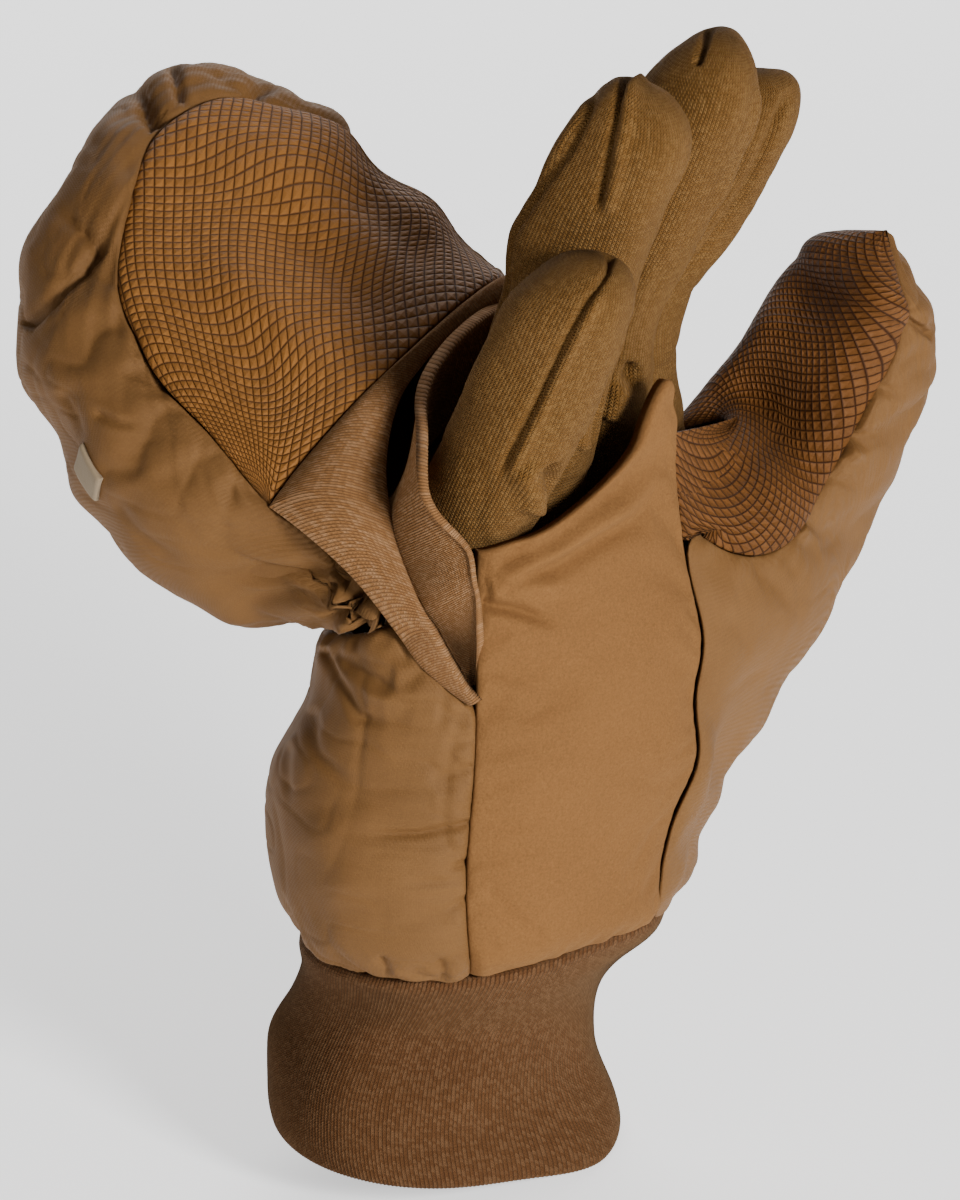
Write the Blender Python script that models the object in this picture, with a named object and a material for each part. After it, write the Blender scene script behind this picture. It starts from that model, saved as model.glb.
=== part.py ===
"""Convertible mitten for the right hand, worn, with its hood folded back.

A knitted cuff carries a padded mitten. The mitten's hood lies folded over the back of the
hand, so the four fingers of the knitted glove inside stand out of the slit in the palm.
Metres, +Z up along the forearm, +X to the thumb, -Y out of the palm. The origin is the
centre of the cuff's lower opening, where the wrist carries the mitten.

Every cloth piece is a wall between an outer surface and the same surface moved inwards.
A surface is a function of two shares, and its sections stand in tables whose lengths are
shares of the named sizes.
"""

import bpy
import bmesh
import numpy as np

# Sizes of the cuff and of the mitten's hand
CUFF_HEIGHT = 0.045
CUFF_WIDTH = 0.083
CUFF_DEPTH = 0.058
HAND_HEIGHT = 0.099
HAND_WIDTH = 0.100
HAND_DEPTH = 0.070

# Sizes of the thumb, of the hood and of the glove's fingers
THUMB_LENGTH = 0.100
THUMB_WIDTH = 0.036
HOOD_LENGTH = 0.0815
HOOD_WIDTH = 0.100
HOOD_DEPTH = 0.056
FINGER_LENGTH = 0.098
FINGER_WIDTH = 0.0210
FINGER_DEPTH = 0.0275

# Walls and clearances
CUFF_WALL = 0.0030
PADDED_WALL = 0.0050
PALM_WALL = 0.0020
GRIP_WALL = 0.0024
RIB_WALL = 0.0018
GLOVE_WALL = 0.0016
SEAM_GAP = 0.0004
FOLD_GAP = 0.0014

# Cuff sections: height, middle x and y, half width, half depth, squareness.
# Heights are shares of CUFF_HEIGHT, x and half widths of CUFF_WIDTH, y and depths of CUFF_DEPTH.
CUFF_ROWS = np.array([
    (0.00, 0.000, 0.000, 0.480, 0.480, 2.0),
    (0.10, -0.004, 0.010, 0.488, 0.489, 2.0),
    (0.34, -0.008, 0.018, 0.468, 0.468, 2.0),
    (0.62, 0.014, -0.020, 0.448, 0.446, 2.0),
    (0.82, 0.030, -0.085, 0.475, 0.472, 2.1),
    (1.00, 0.049, -0.146, 0.535, 0.518, 2.2),
])
# Slope of its lower edge across and from front to back
CUFF_TILT = (-0.056, 0.16)

# Hand sections from the cuff's seam to the knuckles: height, middle x and y, half width,
# half depth, squareness. Shares of HAND_HEIGHT, HAND_WIDTH and HAND_DEPTH.
HAND_ROWS = np.array([
    (-0.04, 0.040, -0.121, 0.425, 0.405, 2.2),
    (0.00, 0.040, -0.121, 0.445, 0.430, 2.2),
    (0.05, 0.040, -0.120, 0.480, 0.480, 2.2),
    (0.15, 0.045, -0.115, 0.505, 0.520, 2.2),
    (0.30, 0.065, -0.135, 0.512, 0.520, 2.2),
    (0.46, 0.095, -0.165, 0.510, 0.500, 2.25),
    (0.66, 0.125, -0.195, 0.500, 0.440, 2.3),
    (0.86, 0.148, -0.228, 0.490, 0.345, 2.4),
    (1.00, 0.155, -0.243, 0.475, 0.305, 2.4),
    (1.14, 0.160, -0.250, 0.455, 0.285, 2.4),
])

# Seams of the hand, as turns in degrees about +Z from the thumb's side, and as heights
THUMB_FRONT = -80.0
THUMB_BACK = 20.0
THUMB_TOP = 0.78
# The seam between palm and side: height and turn
SIDE_SEAM = np.array([
    (-0.04, 221.0),
    (0.00, 221.0),
    (0.30, 217.0),
    (0.60, 213.0),
    (0.95, 212.0),
    (1.10, 212.0),
])
# The palm's upper edge: share of the way from the side seam to the thumb, height
PALM_TOP = np.array([
    (0.00, 0.89),
    (0.25, 0.905),
    (0.50, 0.935),
    (0.75, 1.00),
    (0.92, 1.07),
    (1.00, 1.00),
])
# The back's upper edge, where the hood folds over: turn, height
BACK_TOP = np.array([
    (20.0, 0.85),
    (45.0, 0.73),
    (90.0, 0.61),
    (140.0, 0.65),
    (165.0, 0.70),
    (178.0, 0.725),
    (195.0, 0.655),
    (212.0, 0.580),
])
BACK_END = BACK_TOP[-1, 0]

# Thumb sections above the crotch: share of the way, the section's point next to the fingers and
# its outer point, both as shares of THUMB_LENGTH, then its half depth as a share of THUMB_WIDTH
THUMB_ROWS = np.array([
    (0.00, -0.04, 0.02, 0.06, -0.13, 0.08, -0.73, 0.95),
    (0.25, 0.01, 0.01, 0.12, 0.045, 0.04, -0.60, 0.74),
    (0.50, 0.045, 0.00, 0.19, 0.240, 0.00, -0.33, 0.55),
    (0.68, 0.08, -0.03, 0.27, 0.385, -0.07, -0.06, 0.46),
    (0.84, 0.14, -0.08, 0.36, 0.435, -0.13, 0.19, 0.39),
    (0.95, 0.18, -0.13, 0.415, 0.385, -0.15, 0.345, 0.29),
    (1.00, 0.265, -0.155, 0.446, 0.305, -0.158, 0.436, 0.04),
])
# Share of the thumb between its inner side's end and its tip
THUMB_TIP_SHARE = 0.07
# The wall at the gusset as a share of the whole, and the share of the way in which it thickens
GUSSET_THIN = 0.20
GUSSET_REACH = 0.35
# The gusset is this square on the hand, and the thumb is round beyond this share of the way
GUSSET_SQUARENESS = 24.0
THUMB_SQUARENESS = 2.2
THUMB_BLEND = 0.45
# Directions that the thumb's sections face, out of the hand and at its tip
THUMB_OUT = np.array((0.80, -0.25, 0.10))
THUMB_UP = np.array((0.30, -0.35, 0.90))
# Half turn that the thumb's grip takes: share of the way, degrees
GRIP_TURN = np.array([(0.0, 40.5), (0.3, 62.0), (0.6, 80.0), (1.0, 88.0)])

# Hood sections from its mouth to its tip: share of the way, length, middle across, middle
# above the lip, half width, half depth. Lengths are shares of HOOD_LENGTH, widths of
# HOOD_WIDTH and depths of HOOD_DEPTH. The last row mirrors the one before the tip.
HOOD_ROWS = np.array([
    (-0.10, -0.10, 0.429, -0.337, 0.461, 0.486),
    (0.00, 0.00, 0.4245, -0.352, 0.4685, 0.486),
    (0.20, 0.21, 0.401, -0.402, 0.500, 0.491),
    (0.40, 0.46, 0.407, -0.411, 0.495, 0.482),
    (0.55, 0.66, 0.429, -0.384, 0.459, 0.455),
    (0.70, 0.83, 0.456, -0.325, 0.366, 0.380),
    (0.85, 0.96, 0.484, -0.270, 0.214, 0.235),
    (1.00, 1.00, 0.500, -0.250, 0.000, 0.000),
    (1.15, 0.96, 0.484, -0.270, -0.214, -0.235),
])
HOOD_SQUARENESS = 2.5
# Unit directions of the hood: along it, across it to the thumb's side, out of its grip
HOOD_ALONG = np.array((0.0, 0.872, 0.490))
HOOD_ACROSS = np.array((0.966, 0.0, 0.259))
HOOD_OUT = np.array((-0.226, -0.473, 0.842))
# Where the hood's lip starts on the little finger's side: shares of HAND_WIDTH and
# HAND_DEPTH, and height above the cuff's seam as a share of HAND_HEIGHT
HOOD_CORNER = np.array((-0.40, 0.165, 0.955))
# The fold: the chart turns it takes, the hand's turn at which it starts, the chart turns
# between which the hood is drawn to it, and the share left to the tip where that begins
FOLD_TURNS = (168.0, 372.0)
FOLD_START = 186.0
HOLD_TURNS = (146.0, 188.0, 358.0, 388.0)
HOLD_LEFT = 0.68
# How far the middle of the hood's back runs up from its mouth, in shares of the chart
HOOD_MIDDLE = 0.62
# The seam round the hood's grip: share of the way, turn in degrees, share left to the tip
HOOD_SEAM = np.array([
    (0.00, 147.0, 1.00),
    (0.18, 134.0, 0.80),
    (0.34, 130.0, 0.58),
    (0.44, 121.0, 0.43),
    (0.52, 94.0, 0.30),
    (0.60, 64.0, 0.32),
    (0.70, 44.0, 0.45),
    (0.84, 33.0, 0.72),
    (1.00, 28.0, 1.00),
])

# Sections of the glove's hand, open to the thumb: height, middle x and y, half width, half depth,
# squareness. Shares of HAND_HEIGHT, HAND_WIDTH and HAND_DEPTH.
GLOVE_ROWS = np.array([
    (0.02, 0.040, -0.120, 0.375, 0.350, 2.3),
    (0.20, 0.060, -0.130, 0.410, 0.370, 2.4),
    (0.45, 0.095, -0.160, 0.425, 0.300, 2.6),
    (0.65, 0.120, -0.200, 0.425, 0.210, 3.0),
    (0.82, 0.135, -0.245, 0.415, 0.155, 3.6),
])
# Turns at which the glove's hand starts behind the thumb and ends before it
GLOVE_TURNS = (24.0, 283.0)

# The plain tab on the hood's edge: turn and share left to the tip, from and to
TAB_TURNS = (168.0, 195.0)
TAB_LEFT = (0.58, 0.67)
TAB_WALL = 0.0010

# The free edge of the band on the hood's lip: share of the way, then the point in shares of
# HAND_WIDTH, HAND_DEPTH and HAND_HEIGHT above the cuff's seam
HOOD_BAND_FREE = np.array([
    (0.00, -0.340, -0.450, 0.600),
    (0.12, -0.358, -0.385, 0.695),
    (0.24, -0.358, -0.295, 0.795),
    (0.36, -0.320, -0.180, 0.905),
    (0.48, -0.232, -0.062, 1.005),
    (0.58, -0.100, 0.032, 1.068),
    (0.68, 0.010, 0.060, 1.110),
    (0.80, 0.160, 0.072, 1.145),
    (0.90, 0.330, 0.075, 1.150),
    (1.00, 0.500, 0.050, 1.110),
])
# The hand's turn at which that band starts, and the shares of its way at which it leaves
# the back's edge and reaches the hood's grip
BAND_START = 210.5
BAND_FOLD = 0.18
BAND_BOW = np.array((-0.007, -0.008, 0.012))
BAND_CORNER = 0.40
# The way in which its seam bows, the way it arches between its edges, and how far
BAND_UP = np.array((-0.30, 0.10, 0.90))
BAND_ARCH = 0.16
# Share of the grip's edge that the band takes
LIP_SHARE = 0.985
# The band behind the fingers: share of the way, then turn, height and depth inside the hand's
# surface of its hidden edge and of its free edge. Depths are shares of the way to the middle.
OPENING_BAND = np.array([
    (0.00, 203.0, 0.600, 0.17, 207.0, 0.625, 0.17),
    (0.12, 198.0, 0.680, 0.15, 208.0, 0.730, 0.10),
    (0.26, 186.0, 0.745, 0.08, 207.5, 0.830, 0.07),
    (0.40, 168.0, 0.800, 0.10, 204.0, 0.920, 0.05),
    (0.52, 145.0, 0.850, 0.11, 185.0, 0.990, 0.08),
    (0.64, 127.0, 0.900, 0.19, 150.0, 1.080, 0.24),
    (0.76, 100.0, 0.950, 0.06, 100.0, 1.150, 0.10),
    (0.88, 72.0, 0.960, -0.05, 71.0, 1.140, -0.08),
    (1.00, 46.0, 0.930, -0.03, 46.0, 1.080, -0.05),
])

# Fingers: name, then the middle at the base, over the knuckle and at the tip, across and from
# front to back in shares of HAND_WIDTH and HAND_DEPTH, then length as a share of FINGER_LENGTH
FINGER_ROWS = (
    ("glove_little_finger", (-0.163, -0.235), (-0.168, -0.340), (-0.120, -0.640), 0.675),
    ("glove_ring_finger", (0.043, -0.235), (0.050, -0.275), (0.098, -0.580), 0.935),
    ("glove_middle_finger", (0.250, -0.215), (0.265, -0.250), (0.310, -0.610), 0.960),
    ("glove_index_finger", (0.462, -0.205), (0.472, -0.190), (0.525, -0.520), 0.830),
)
FINGER_BASE = 0.82
FINGER_KNUCKLE = 0.25
# Share of a finger's rows below its rounded tip
FINGER_STRAIGHT = 0.62


def through(rows, at):
    """Values of a table's further columns at shares of its first, on a smooth curve."""
    rows = np.asarray(rows, dtype=float)
    knots = rows[:, 0]
    values = rows[:, 1:]
    slopes = np.gradient(values, knots, axis=0)
    at = np.clip(np.asarray(at, dtype=float), knots[0], knots[-1])
    low = np.clip(np.searchsorted(knots, at, side="right") - 1, 0, len(knots) - 2)
    span = (knots[low + 1] - knots[low])[..., None]
    share = (at - knots[low])[..., None] / span
    squared = share * share
    cubed = squared * share
    return (
        (2.0 * cubed - 3.0 * squared + 1.0) * values[low]
        + (cubed - 2.0 * squared + share) * span * slopes[low]
        + (3.0 * squared - 2.0 * cubed) * values[low + 1]
        + (cubed - squared) * span * slopes[low + 1]
    )


def rounded(turn, squareness):
    """Point at a turn on a rounded square of half width 1: 2 is a circle, more is squarer."""
    cosine = np.cos(turn)
    sine = np.sin(turn)
    reach = (np.abs(cosine) ** squareness + np.abs(sine) ** squareness) ** (1.0 / squareness)
    return cosine / reach, sine / reach


def smooth_step(value):
    """0 below 0, 1 above 1, and an even S between."""
    value = np.clip(value, 0.0, 1.0)
    return value * value * (3.0 - 2.0 * value)


def moved_in(surface, u, v, depth, reach=1e-4):
    """A surface's points and the same points moved against its normal by a depth.

    The normal is that of a small cross laid on the surface, its arms reach long across.
    """
    step = 1e-4
    across = surface(u + reach, v) - surface(u - reach, v)
    along = surface(u, v + step) - surface(u, v - step)
    normal = np.cross(across, along)
    normal /= np.maximum(np.linalg.norm(normal, axis=-1, keepdims=True), 1e-12)
    points = surface(u, v)
    return points, points - normal * np.asarray(depth)[..., None]


def cuff(turn, height):
    """The cuff's outer surface, its lower edge sloped."""
    values = np.moveaxis(through(CUFF_ROWS, height), -1, 0)
    middle_x, middle_y, half_width, half_depth, squareness = values
    cosine, sine = rounded(turn, squareness)
    x = CUFF_WIDTH * (middle_x + half_width * cosine)
    y = CUFF_DEPTH * (middle_y + half_depth * sine)
    tilt = (1.0 - smooth_step(height)) * (CUFF_TILT[0] * x + CUFF_TILT[1] * y)
    return np.stack((x, y, CUFF_HEIGHT * height + tilt), axis=-1)


def hand(turn, height):
    """The mitten's outer surface round the hand, from the cuff's seam up."""
    values = np.moveaxis(through(HAND_ROWS, height), -1, 0)
    middle_x, middle_y, half_width, half_depth, squareness = values
    cosine, sine = rounded(turn, squareness)
    x = HAND_WIDTH * (middle_x + half_width * cosine)
    y = HAND_DEPTH * (middle_y + half_depth * sine)
    return np.stack((x, y, CUFF_HEIGHT + HAND_HEIGHT * height), axis=-1)


def at_hand(shares):
    """Point from shares of the hand's width, depth and height above the cuff's seam."""
    return shares * np.array((HAND_WIDTH, HAND_DEPTH, HAND_HEIGHT)) + np.array((0.0, 0.0, CUFF_HEIGHT))


def closed_wall(outer, inner, around, shut):
    """Faces between two grids of points: a closed body with its faces pointing out.

    The grids run around (first axis) and along (second axis). around joins the last
    column to the first, and shut says that the last row meets itself and needs no rim.
    """
    columns, rows = outer.shape[:2]
    mesh = bmesh.new()
    grids = []
    for grid in (outer, inner):
        grids.append([[mesh.verts.new(point) for point in column] for column in grid])
    skin, lining = grids
    last = columns if around else columns - 1
    for i in range(last):
        j = (i + 1) % columns
        for k in range(rows - 1):
            mesh.faces.new((skin[i][k], skin[j][k], skin[j][k + 1], skin[i][k + 1]))
            mesh.faces.new((lining[i][k], lining[i][k + 1], lining[j][k + 1], lining[j][k]))
        mesh.faces.new((skin[j][0], skin[i][0], lining[i][0], lining[j][0]))
        if not shut:
            mesh.faces.new((skin[i][-1], skin[j][-1], lining[j][-1], lining[i][-1]))
    if not around:
        for k in range(rows - 1):
            mesh.faces.new((skin[0][k], skin[0][k + 1], lining[0][k + 1], lining[0][k]))
            mesh.faces.new((skin[-1][k + 1], skin[-1][k], lining[-1][k], lining[-1][k + 1]))
    bmesh.ops.remove_doubles(mesh, verts=mesh.verts, dist=2e-6)
    bmesh.ops.dissolve_degenerate(mesh, edges=mesh.edges, dist=1e-6)
    bmesh.ops.triangulate(mesh, faces=mesh.faces)
    bmesh.ops.recalc_face_normals(mesh, faces=mesh.faces)
    return mesh


def cloth(name, colour, roughness):
    """A matt cloth."""
    material = bpy.data.materials.new(name)
    material.use_nodes = True
    shader = material.node_tree.nodes["Principled BSDF"]
    shader.inputs["Base Color"].default_value = (*colour, 1.0)
    shader.inputs["Roughness"].default_value = roughness
    shader.inputs["Metallic"].default_value = 0.0
    return material


def place(name, mesh, material):
    """Put a finished mesh in the mitten's collection as one named piece."""
    data = bpy.data.meshes.new(name)
    mesh.to_mesh(data)
    mesh.free()
    piece = bpy.data.objects.new(name, data)
    data.materials.append(material)
    data.shade_smooth()
    data.set_sharp_from_angle(angle=np.radians(50.0))
    bpy.data.collections["convertible_mitten"].objects.link(piece)
    return piece


def grid(columns, rows):
    """Shares 0 to 1 across and along, as two arrays."""
    return np.meshgrid(np.linspace(0.0, 1.0, columns), np.linspace(0.0, 1.0, rows), indexing="ij")


def ring_grid(columns, rows):
    """Turns of a whole circle without its last column, and shares along."""
    turns = np.linspace(0.0, 2.0 * np.pi, columns, endpoint=False)
    return np.meshgrid(turns, np.linspace(0.0, 1.0, rows), indexing="ij")


def seam_turn(height):
    """Turn of the seam between palm and side at a height, in degrees."""
    return through(SIDE_SEAM, height)[..., 0]


def gap_turn():
    """Half of the gap at an upright seam, in degrees of turn about the hand."""
    return np.degrees(SEAM_GAP / HAND_WIDTH)


def palm(u, v):
    """Palm panel: u from the side seam to the thumb's seam, v from the cuff to its upper edge."""
    top = through(PALM_TOP, u)[..., 0]
    bottom = SEAM_GAP / HAND_HEIGHT
    height = bottom + (top - bottom) * v
    start = seam_turn(height) + gap_turn()
    end = 360.0 + THUMB_FRONT - gap_turn()
    return hand(np.radians(start + (end - start) * u), height)


def back(u, v):
    """Back and side: u from the thumb round the back to the palm, v from the cuff to the fold."""
    top = through(BACK_TOP, THUMB_BACK + (BACK_END - THUMB_BACK) * u)[..., 0]
    bottom = SEAM_GAP / HAND_HEIGHT
    height = bottom + (top - bottom) * v
    start = THUMB_BACK + gap_turn()
    end = seam_turn(height) - gap_turn()
    return hand(np.radians(start + (end - start) * u), height)


def glove_hand(u, v):
    """The glove's hand: u from the thumb's opening round the back to the palm, v up."""
    start = GLOVE_ROWS[0, 0]
    height = start + (FINGER_BASE - SEAM_GAP / HAND_HEIGHT - start) * v
    values = np.moveaxis(through(GLOVE_ROWS, height), -1, 0)
    middle_x, middle_y, half_width, half_depth, squareness = values
    turn = np.radians(GLOVE_TURNS[0] + (GLOVE_TURNS[1] - GLOVE_TURNS[0]) * u)
    cosine, sine = rounded(turn, squareness)
    x = HAND_WIDTH * (middle_x + half_width * cosine)
    y = HAND_DEPTH * (middle_y + half_depth * sine)
    return np.stack((x, y, CUFF_HEIGHT + HAND_HEIGHT * height), axis=-1)


def thumb_outline(turn):
    """Turn about the hand and height of the thumb's gusset, round its outline on the hand."""
    upright, sideways = rounded(turn, GUSSET_SQUARENESS)
    middle = 0.5 * (THUMB_FRONT + THUMB_BACK)
    half = 0.5 * (THUMB_BACK - THUMB_FRONT) - 3.0 * gap_turn()
    low = SEAM_GAP / HAND_HEIGHT
    high = THUMB_TOP - SEAM_GAP / HAND_HEIGHT
    height = 0.5 * (low + high) + 0.5 * (high - low) * upright
    return np.radians(middle - half * sideways), height


def thumb(turn, along):
    """Thumb's outer surface: turn 0 next to the fingers, 90 degrees on the palm's side."""
    crotch = hand(np.radians(0.5 * (THUMB_FRONT + THUMB_BACK)), np.float64(THUMB_TOP))
    values = through(THUMB_ROWS, along)
    near = crotch + THUMB_LENGTH * values[..., 0:3]
    far = crotch + THUMB_LENGTH * values[..., 3:6]
    half_depth = THUMB_WIDTH * values[..., 6]
    upright = 0.5 * (near - far)
    sideways = np.cross(upright, thumb_way(along))
    sideways /= np.linalg.norm(sideways, axis=-1, keepdims=True)
    cosine, sine = rounded(turn, THUMB_SQUARENESS)
    ring = 0.5 * (near + far) + upright * cosine[..., None]
    ring = ring - sideways * (half_depth * sine)[..., None]
    blend = np.sin(0.5 * np.pi * np.clip(along / THUMB_BLEND, 0.0, 1.0))[..., None]
    return hand(*thumb_outline(turn)) * (1.0 - blend) + ring * blend


def thumb_way(along):
    """Direction that the thumb's sections face, from out of the hand to up its tip."""
    share = smooth_step((along - 0.1) / 0.75)[..., None]
    way = THUMB_OUT * (1.0 - share) + THUMB_UP * share
    return way / np.linalg.norm(way, axis=-1, keepdims=True)


def hood(x, y, inset=0.0):
    """Hood's surface over a round chart: its tip at 0, its mouth on the unit circle.

    Away from the mouth it has the hood's own sections, and at the mouth's lower half it
    is drawn to the edge of the hand's back, where the hood is folded over.
    """
    left = np.hypot(x, y)
    turn = np.arctan2(y, x)
    values = through(HOOD_ROWS, 1.0 - left)
    length, across, out, half_width, half_depth = np.moveaxis(values, -1, 0)
    cosine, sine = rounded(turn, HOOD_SQUARENESS)
    half_width = half_width * (1.0 - 2.0 * inset / HOOD_WIDTH)
    half_depth = half_depth * (1.0 - 2.0 * inset / HOOD_DEPTH)
    free = (
        at_hand(HOOD_CORNER)
        + HOOD_ACROSS * (HOOD_WIDTH * (across + half_width * cosine))[..., None]
        + HOOD_OUT * (HOOD_DEPTH * (out + half_depth * sine))[..., None]
        + HOOD_ALONG * ((HOOD_LENGTH - inset) * length)[..., None]
    )
    degrees = np.degrees(np.mod(turn - 0.5 * np.pi, 2.0 * np.pi)) + 90.0
    share = np.clip((degrees - FOLD_TURNS[0]) / (FOLD_TURNS[1] - FOLD_TURNS[0]), 0.0, 1.0)
    around = FOLD_START + (THUMB_BACK - FOLD_START) * share
    height = through(BACK_TOP, around)[..., 0] + (FOLD_GAP + inset) / HAND_HEIGHT
    hold = smooth_step((degrees - HOLD_TURNS[0]) / (HOLD_TURNS[1] - HOLD_TURNS[0]))
    hold = hold * smooth_step((HOLD_TURNS[3] - degrees) / (HOLD_TURNS[3] - HOLD_TURNS[2]))
    near = np.clip((left - HOLD_LEFT) / (1.0 - HOLD_LEFT), 0.0, 1.02)
    hold = hold * (1.0 - np.cos(0.5 * np.pi * near))
    return free * (1.0 - hold[..., None]) + hand(np.radians(around), height) * hold[..., None]


def hood_seam(share, outside):
    """Chart point of the seam round the hood's grip, moved to its outside by half a gap."""
    values = through(HOOD_SEAM, share)
    turn = np.radians(values[..., 0])
    left = values[..., 1] - outside * SEAM_GAP / HOOD_LENGTH
    side = np.where(share < 0.5, 1.0, -1.0) * np.abs(np.cos(turn))
    turn = turn + side * outside * SEAM_GAP / HOOD_WIDTH
    left = np.where((share <= 0.0) | (share >= 1.0), 1.0, left)
    return np.stack((left * np.cos(turn), left * np.sin(turn)), axis=-1)


def rim(point, share):
    """Chart points on the hood's mouth from a point there down to the middle of its back."""
    height = point[..., 1] * (1.0 - share) - share
    across = np.sign(point[..., 0]) * np.sqrt(np.maximum(1.0 - height * height, 0.0))
    return np.stack((across, height), axis=-1)


def hood_grip_chart(u, v):
    """Chart of the grip: u from the little finger's side to the thumb's, v from lip to seam."""
    seam = hood_seam(u, -1.0)
    ends = hood_seam(np.array((0.0, 1.0)), -1.0)
    start, end = np.arctan2(ends[:, 1], ends[:, 0])
    turn = start + (end - start) * u
    lip = np.stack((np.cos(turn), np.sin(turn)), axis=-1)
    return lip + (seam - lip) * v[..., None]


def hood_shell_chart(u, v):
    """Chart of the shell: u along the grip's seam, v over the edge to the middle of the back.

    The row v = 1 runs up the middle of the back and down again, so its two halves meet.
    """
    ends = hood_seam(np.array((0.0, 1.0)), 1.0)
    foot = np.array((0.0, -1.0))
    way_up = 1.0 - np.abs(2.0 * u - 1.0)
    middle = np.stack((0.0 * u, -1.0 + HOOD_MIDDLE * way_up), axis=-1)
    u3 = u[..., None]
    v3 = v[..., None]
    ruled = hood_seam(u, 1.0) * (1.0 - v3) + middle * v3
    ruled = ruled + rim(ends[0], v) * (1.0 - u3) + rim(ends[1], v) * u3
    return ruled - (1.0 - v3) * ((1.0 - u3) * ends[0] + u3 * ends[1]) - v3 * foot


def finger(row, turn, along, inset):
    """A finger's surface: squarer at its base, where it sits beside its neighbours."""
    long = FINGER_LENGTH * row[4] - inset
    knots = np.array([(0.0, *row[1]), (FINGER_KNUCKLE, *row[2]), (1.0, *row[3])])
    cap = np.clip((along - FINGER_STRAIGHT) / (1.0 - FINGER_STRAIGHT), 0.0, 1.0) * 0.5 * np.pi
    reach = (0.5 * FINGER_DEPTH - inset) / long
    share = np.clip(along / FINGER_STRAIGHT, 0.0, 1.0) * (1.0 - reach) + reach * np.sin(cap)
    middle = through(knots, share)
    slim = 0.94 + 0.06 * smooth_step(share / 0.15) - 0.06 * smooth_step(share)
    deep = 0.74 + 0.26 * smooth_step(share / 0.32) - 0.06 * smooth_step((share - 0.3) / 0.7)
    cosine, sine = rounded(turn, 2.1 + 0.7 * (1.0 - smooth_step(share / 0.35)))
    x = HAND_WIDTH * middle[..., 0] + (0.5 * FINGER_WIDTH * slim - inset) * cosine * np.cos(cap)
    y = HAND_DEPTH * middle[..., 1] + (0.5 * FINGER_DEPTH * deep - inset) * sine * np.cos(cap)
    z = CUFF_HEIGHT + HAND_HEIGHT * FINGER_BASE + share * long
    return np.stack((x, y, z), axis=-1)


def inside_hand(turn, height, share):
    """Point on the hand's surface moved by a share of the way to the hand's middle."""
    surface = hand(np.radians(turn), height)
    middle = 0.5 * (hand(0.0 * turn, height) + hand(np.pi + 0.0 * turn, height))
    return surface + (middle - surface) * share[..., None]


def lip_chart(u):
    """Chart points of the hood's lip under the band, just past the grip's edge."""
    ends = hood_seam(np.array((0.0, 1.0)), -1.0)
    start, end = np.arctan2(ends[:, 1], ends[:, 0])
    share = np.clip((u - BAND_CORNER) / (1.0 - BAND_CORNER), 0.0, 1.0)
    turn = start + (end - start) * LIP_SHARE * share
    left = 1.0 + 2.5 * SEAM_GAP / HOOD_LENGTH
    return left * np.cos(turn), left * np.sin(turn)


def hood_band(u, v):
    """Band of the hood's lip: u from the palm's side seam up and round, v from seam to edge."""
    free = at_hand(through(HOOD_BAND_FREE, u))
    turn = BAND_START - (BAND_START - FOLD_START) * np.clip(u / BAND_FOLD, 0.0, 1.0)
    edge = hand(np.radians(turn), through(BACK_TOP, turn)[..., 0] + FOLD_GAP / HAND_HEIGHT)
    share = np.clip((u - BAND_FOLD) / (BAND_CORNER - BAND_FOLD), 0.0, 1.0)[..., None]
    low = edge + (hood(*lip_chart(0.0 * u)) - edge) * share
    low = low + BAND_BOW * share * (1.0 - share)
    seam = np.where((u < BAND_CORNER)[..., None], low, hood(*lip_chart(u)))
    width = np.linalg.norm(free - seam, axis=-1, keepdims=True)
    arch = BAND_ARCH * np.sin(np.pi * v) * smooth_step(u / 0.25)
    return seam + (free - seam) * v[..., None] + BAND_UP * width * arch[..., None]


def opening_band(u, v):
    """Band of the opening behind the fingers: v from its hidden seam to its free edge."""
    values = np.moveaxis(through(OPENING_BAND, u), -1, 0)
    low = inside_hand(*values[0:3])
    high = inside_hand(*values[3:6])
    return low + (high - low) * v[..., None]


def make_cuff(material):
    """The rib-knitted cuff."""
    turn, height = ring_grid(32, 8)
    outer, inner = moved_in(cuff, turn, height, CUFF_WALL)
    inner[:, (0, -1), 2] = outer[:, (0, -1), 2]
    place("wrist_cuff", closed_wall(outer, inner, True, False), material)


def make_panel(name, surface, columns, rows, depth, material):
    """One panel of a surface over shares across and along."""
    u, v = grid(columns, rows)
    outer, inner = moved_in(surface, u, v, depth)
    place(name, closed_wall(outer, inner, False, False), material)


def make_thumb(shell_cloth, grip_cloth):
    """The thumb's two panels. Their inner sides stop short of the tip, and thin to the gusset."""
    def panel(name, columns, start, end, depth, material):
        u, v = grid(columns, 14)
        v = 1.0 - (1.0 - v) ** 1.5
        outer = thumb(start(v) + (end(v) - start(v)) * u, v)
        v = v * (1.0 - THUMB_TIP_SHARE * v * v)
        turn = start(v) + (end(v) - start(v)) * u
        deep = depth * (GUSSET_THIN + (1.0 - GUSSET_THIN) * smooth_step(v / GUSSET_REACH))
        inner = moved_in(thumb, turn, v, deep, 0.06)[1]
        place(name, closed_wall(outer, inner, False, False), material)

    def half(v, side):
        gap = SEAM_GAP * (3.0 - 2.0 * smooth_step(v / GUSSET_REACH)) / THUMB_WIDTH
        return np.radians(through(GRIP_TURN, v)[..., 0]) + side * gap

    def start_grip(v):
        return -half(v, -1.0)

    def end_grip(v):
        return half(v, -1.0)

    def start_shell(v):
        return half(v, 1.0)

    def end_shell(v):
        return 2.0 * np.pi - half(v, 1.0)

    panel("thumb_grip", 16, start_grip, end_grip, GRIP_WALL, grip_cloth)
    panel("thumb_shell", 33, start_shell, end_shell, PADDED_WALL, shell_cloth)


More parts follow.
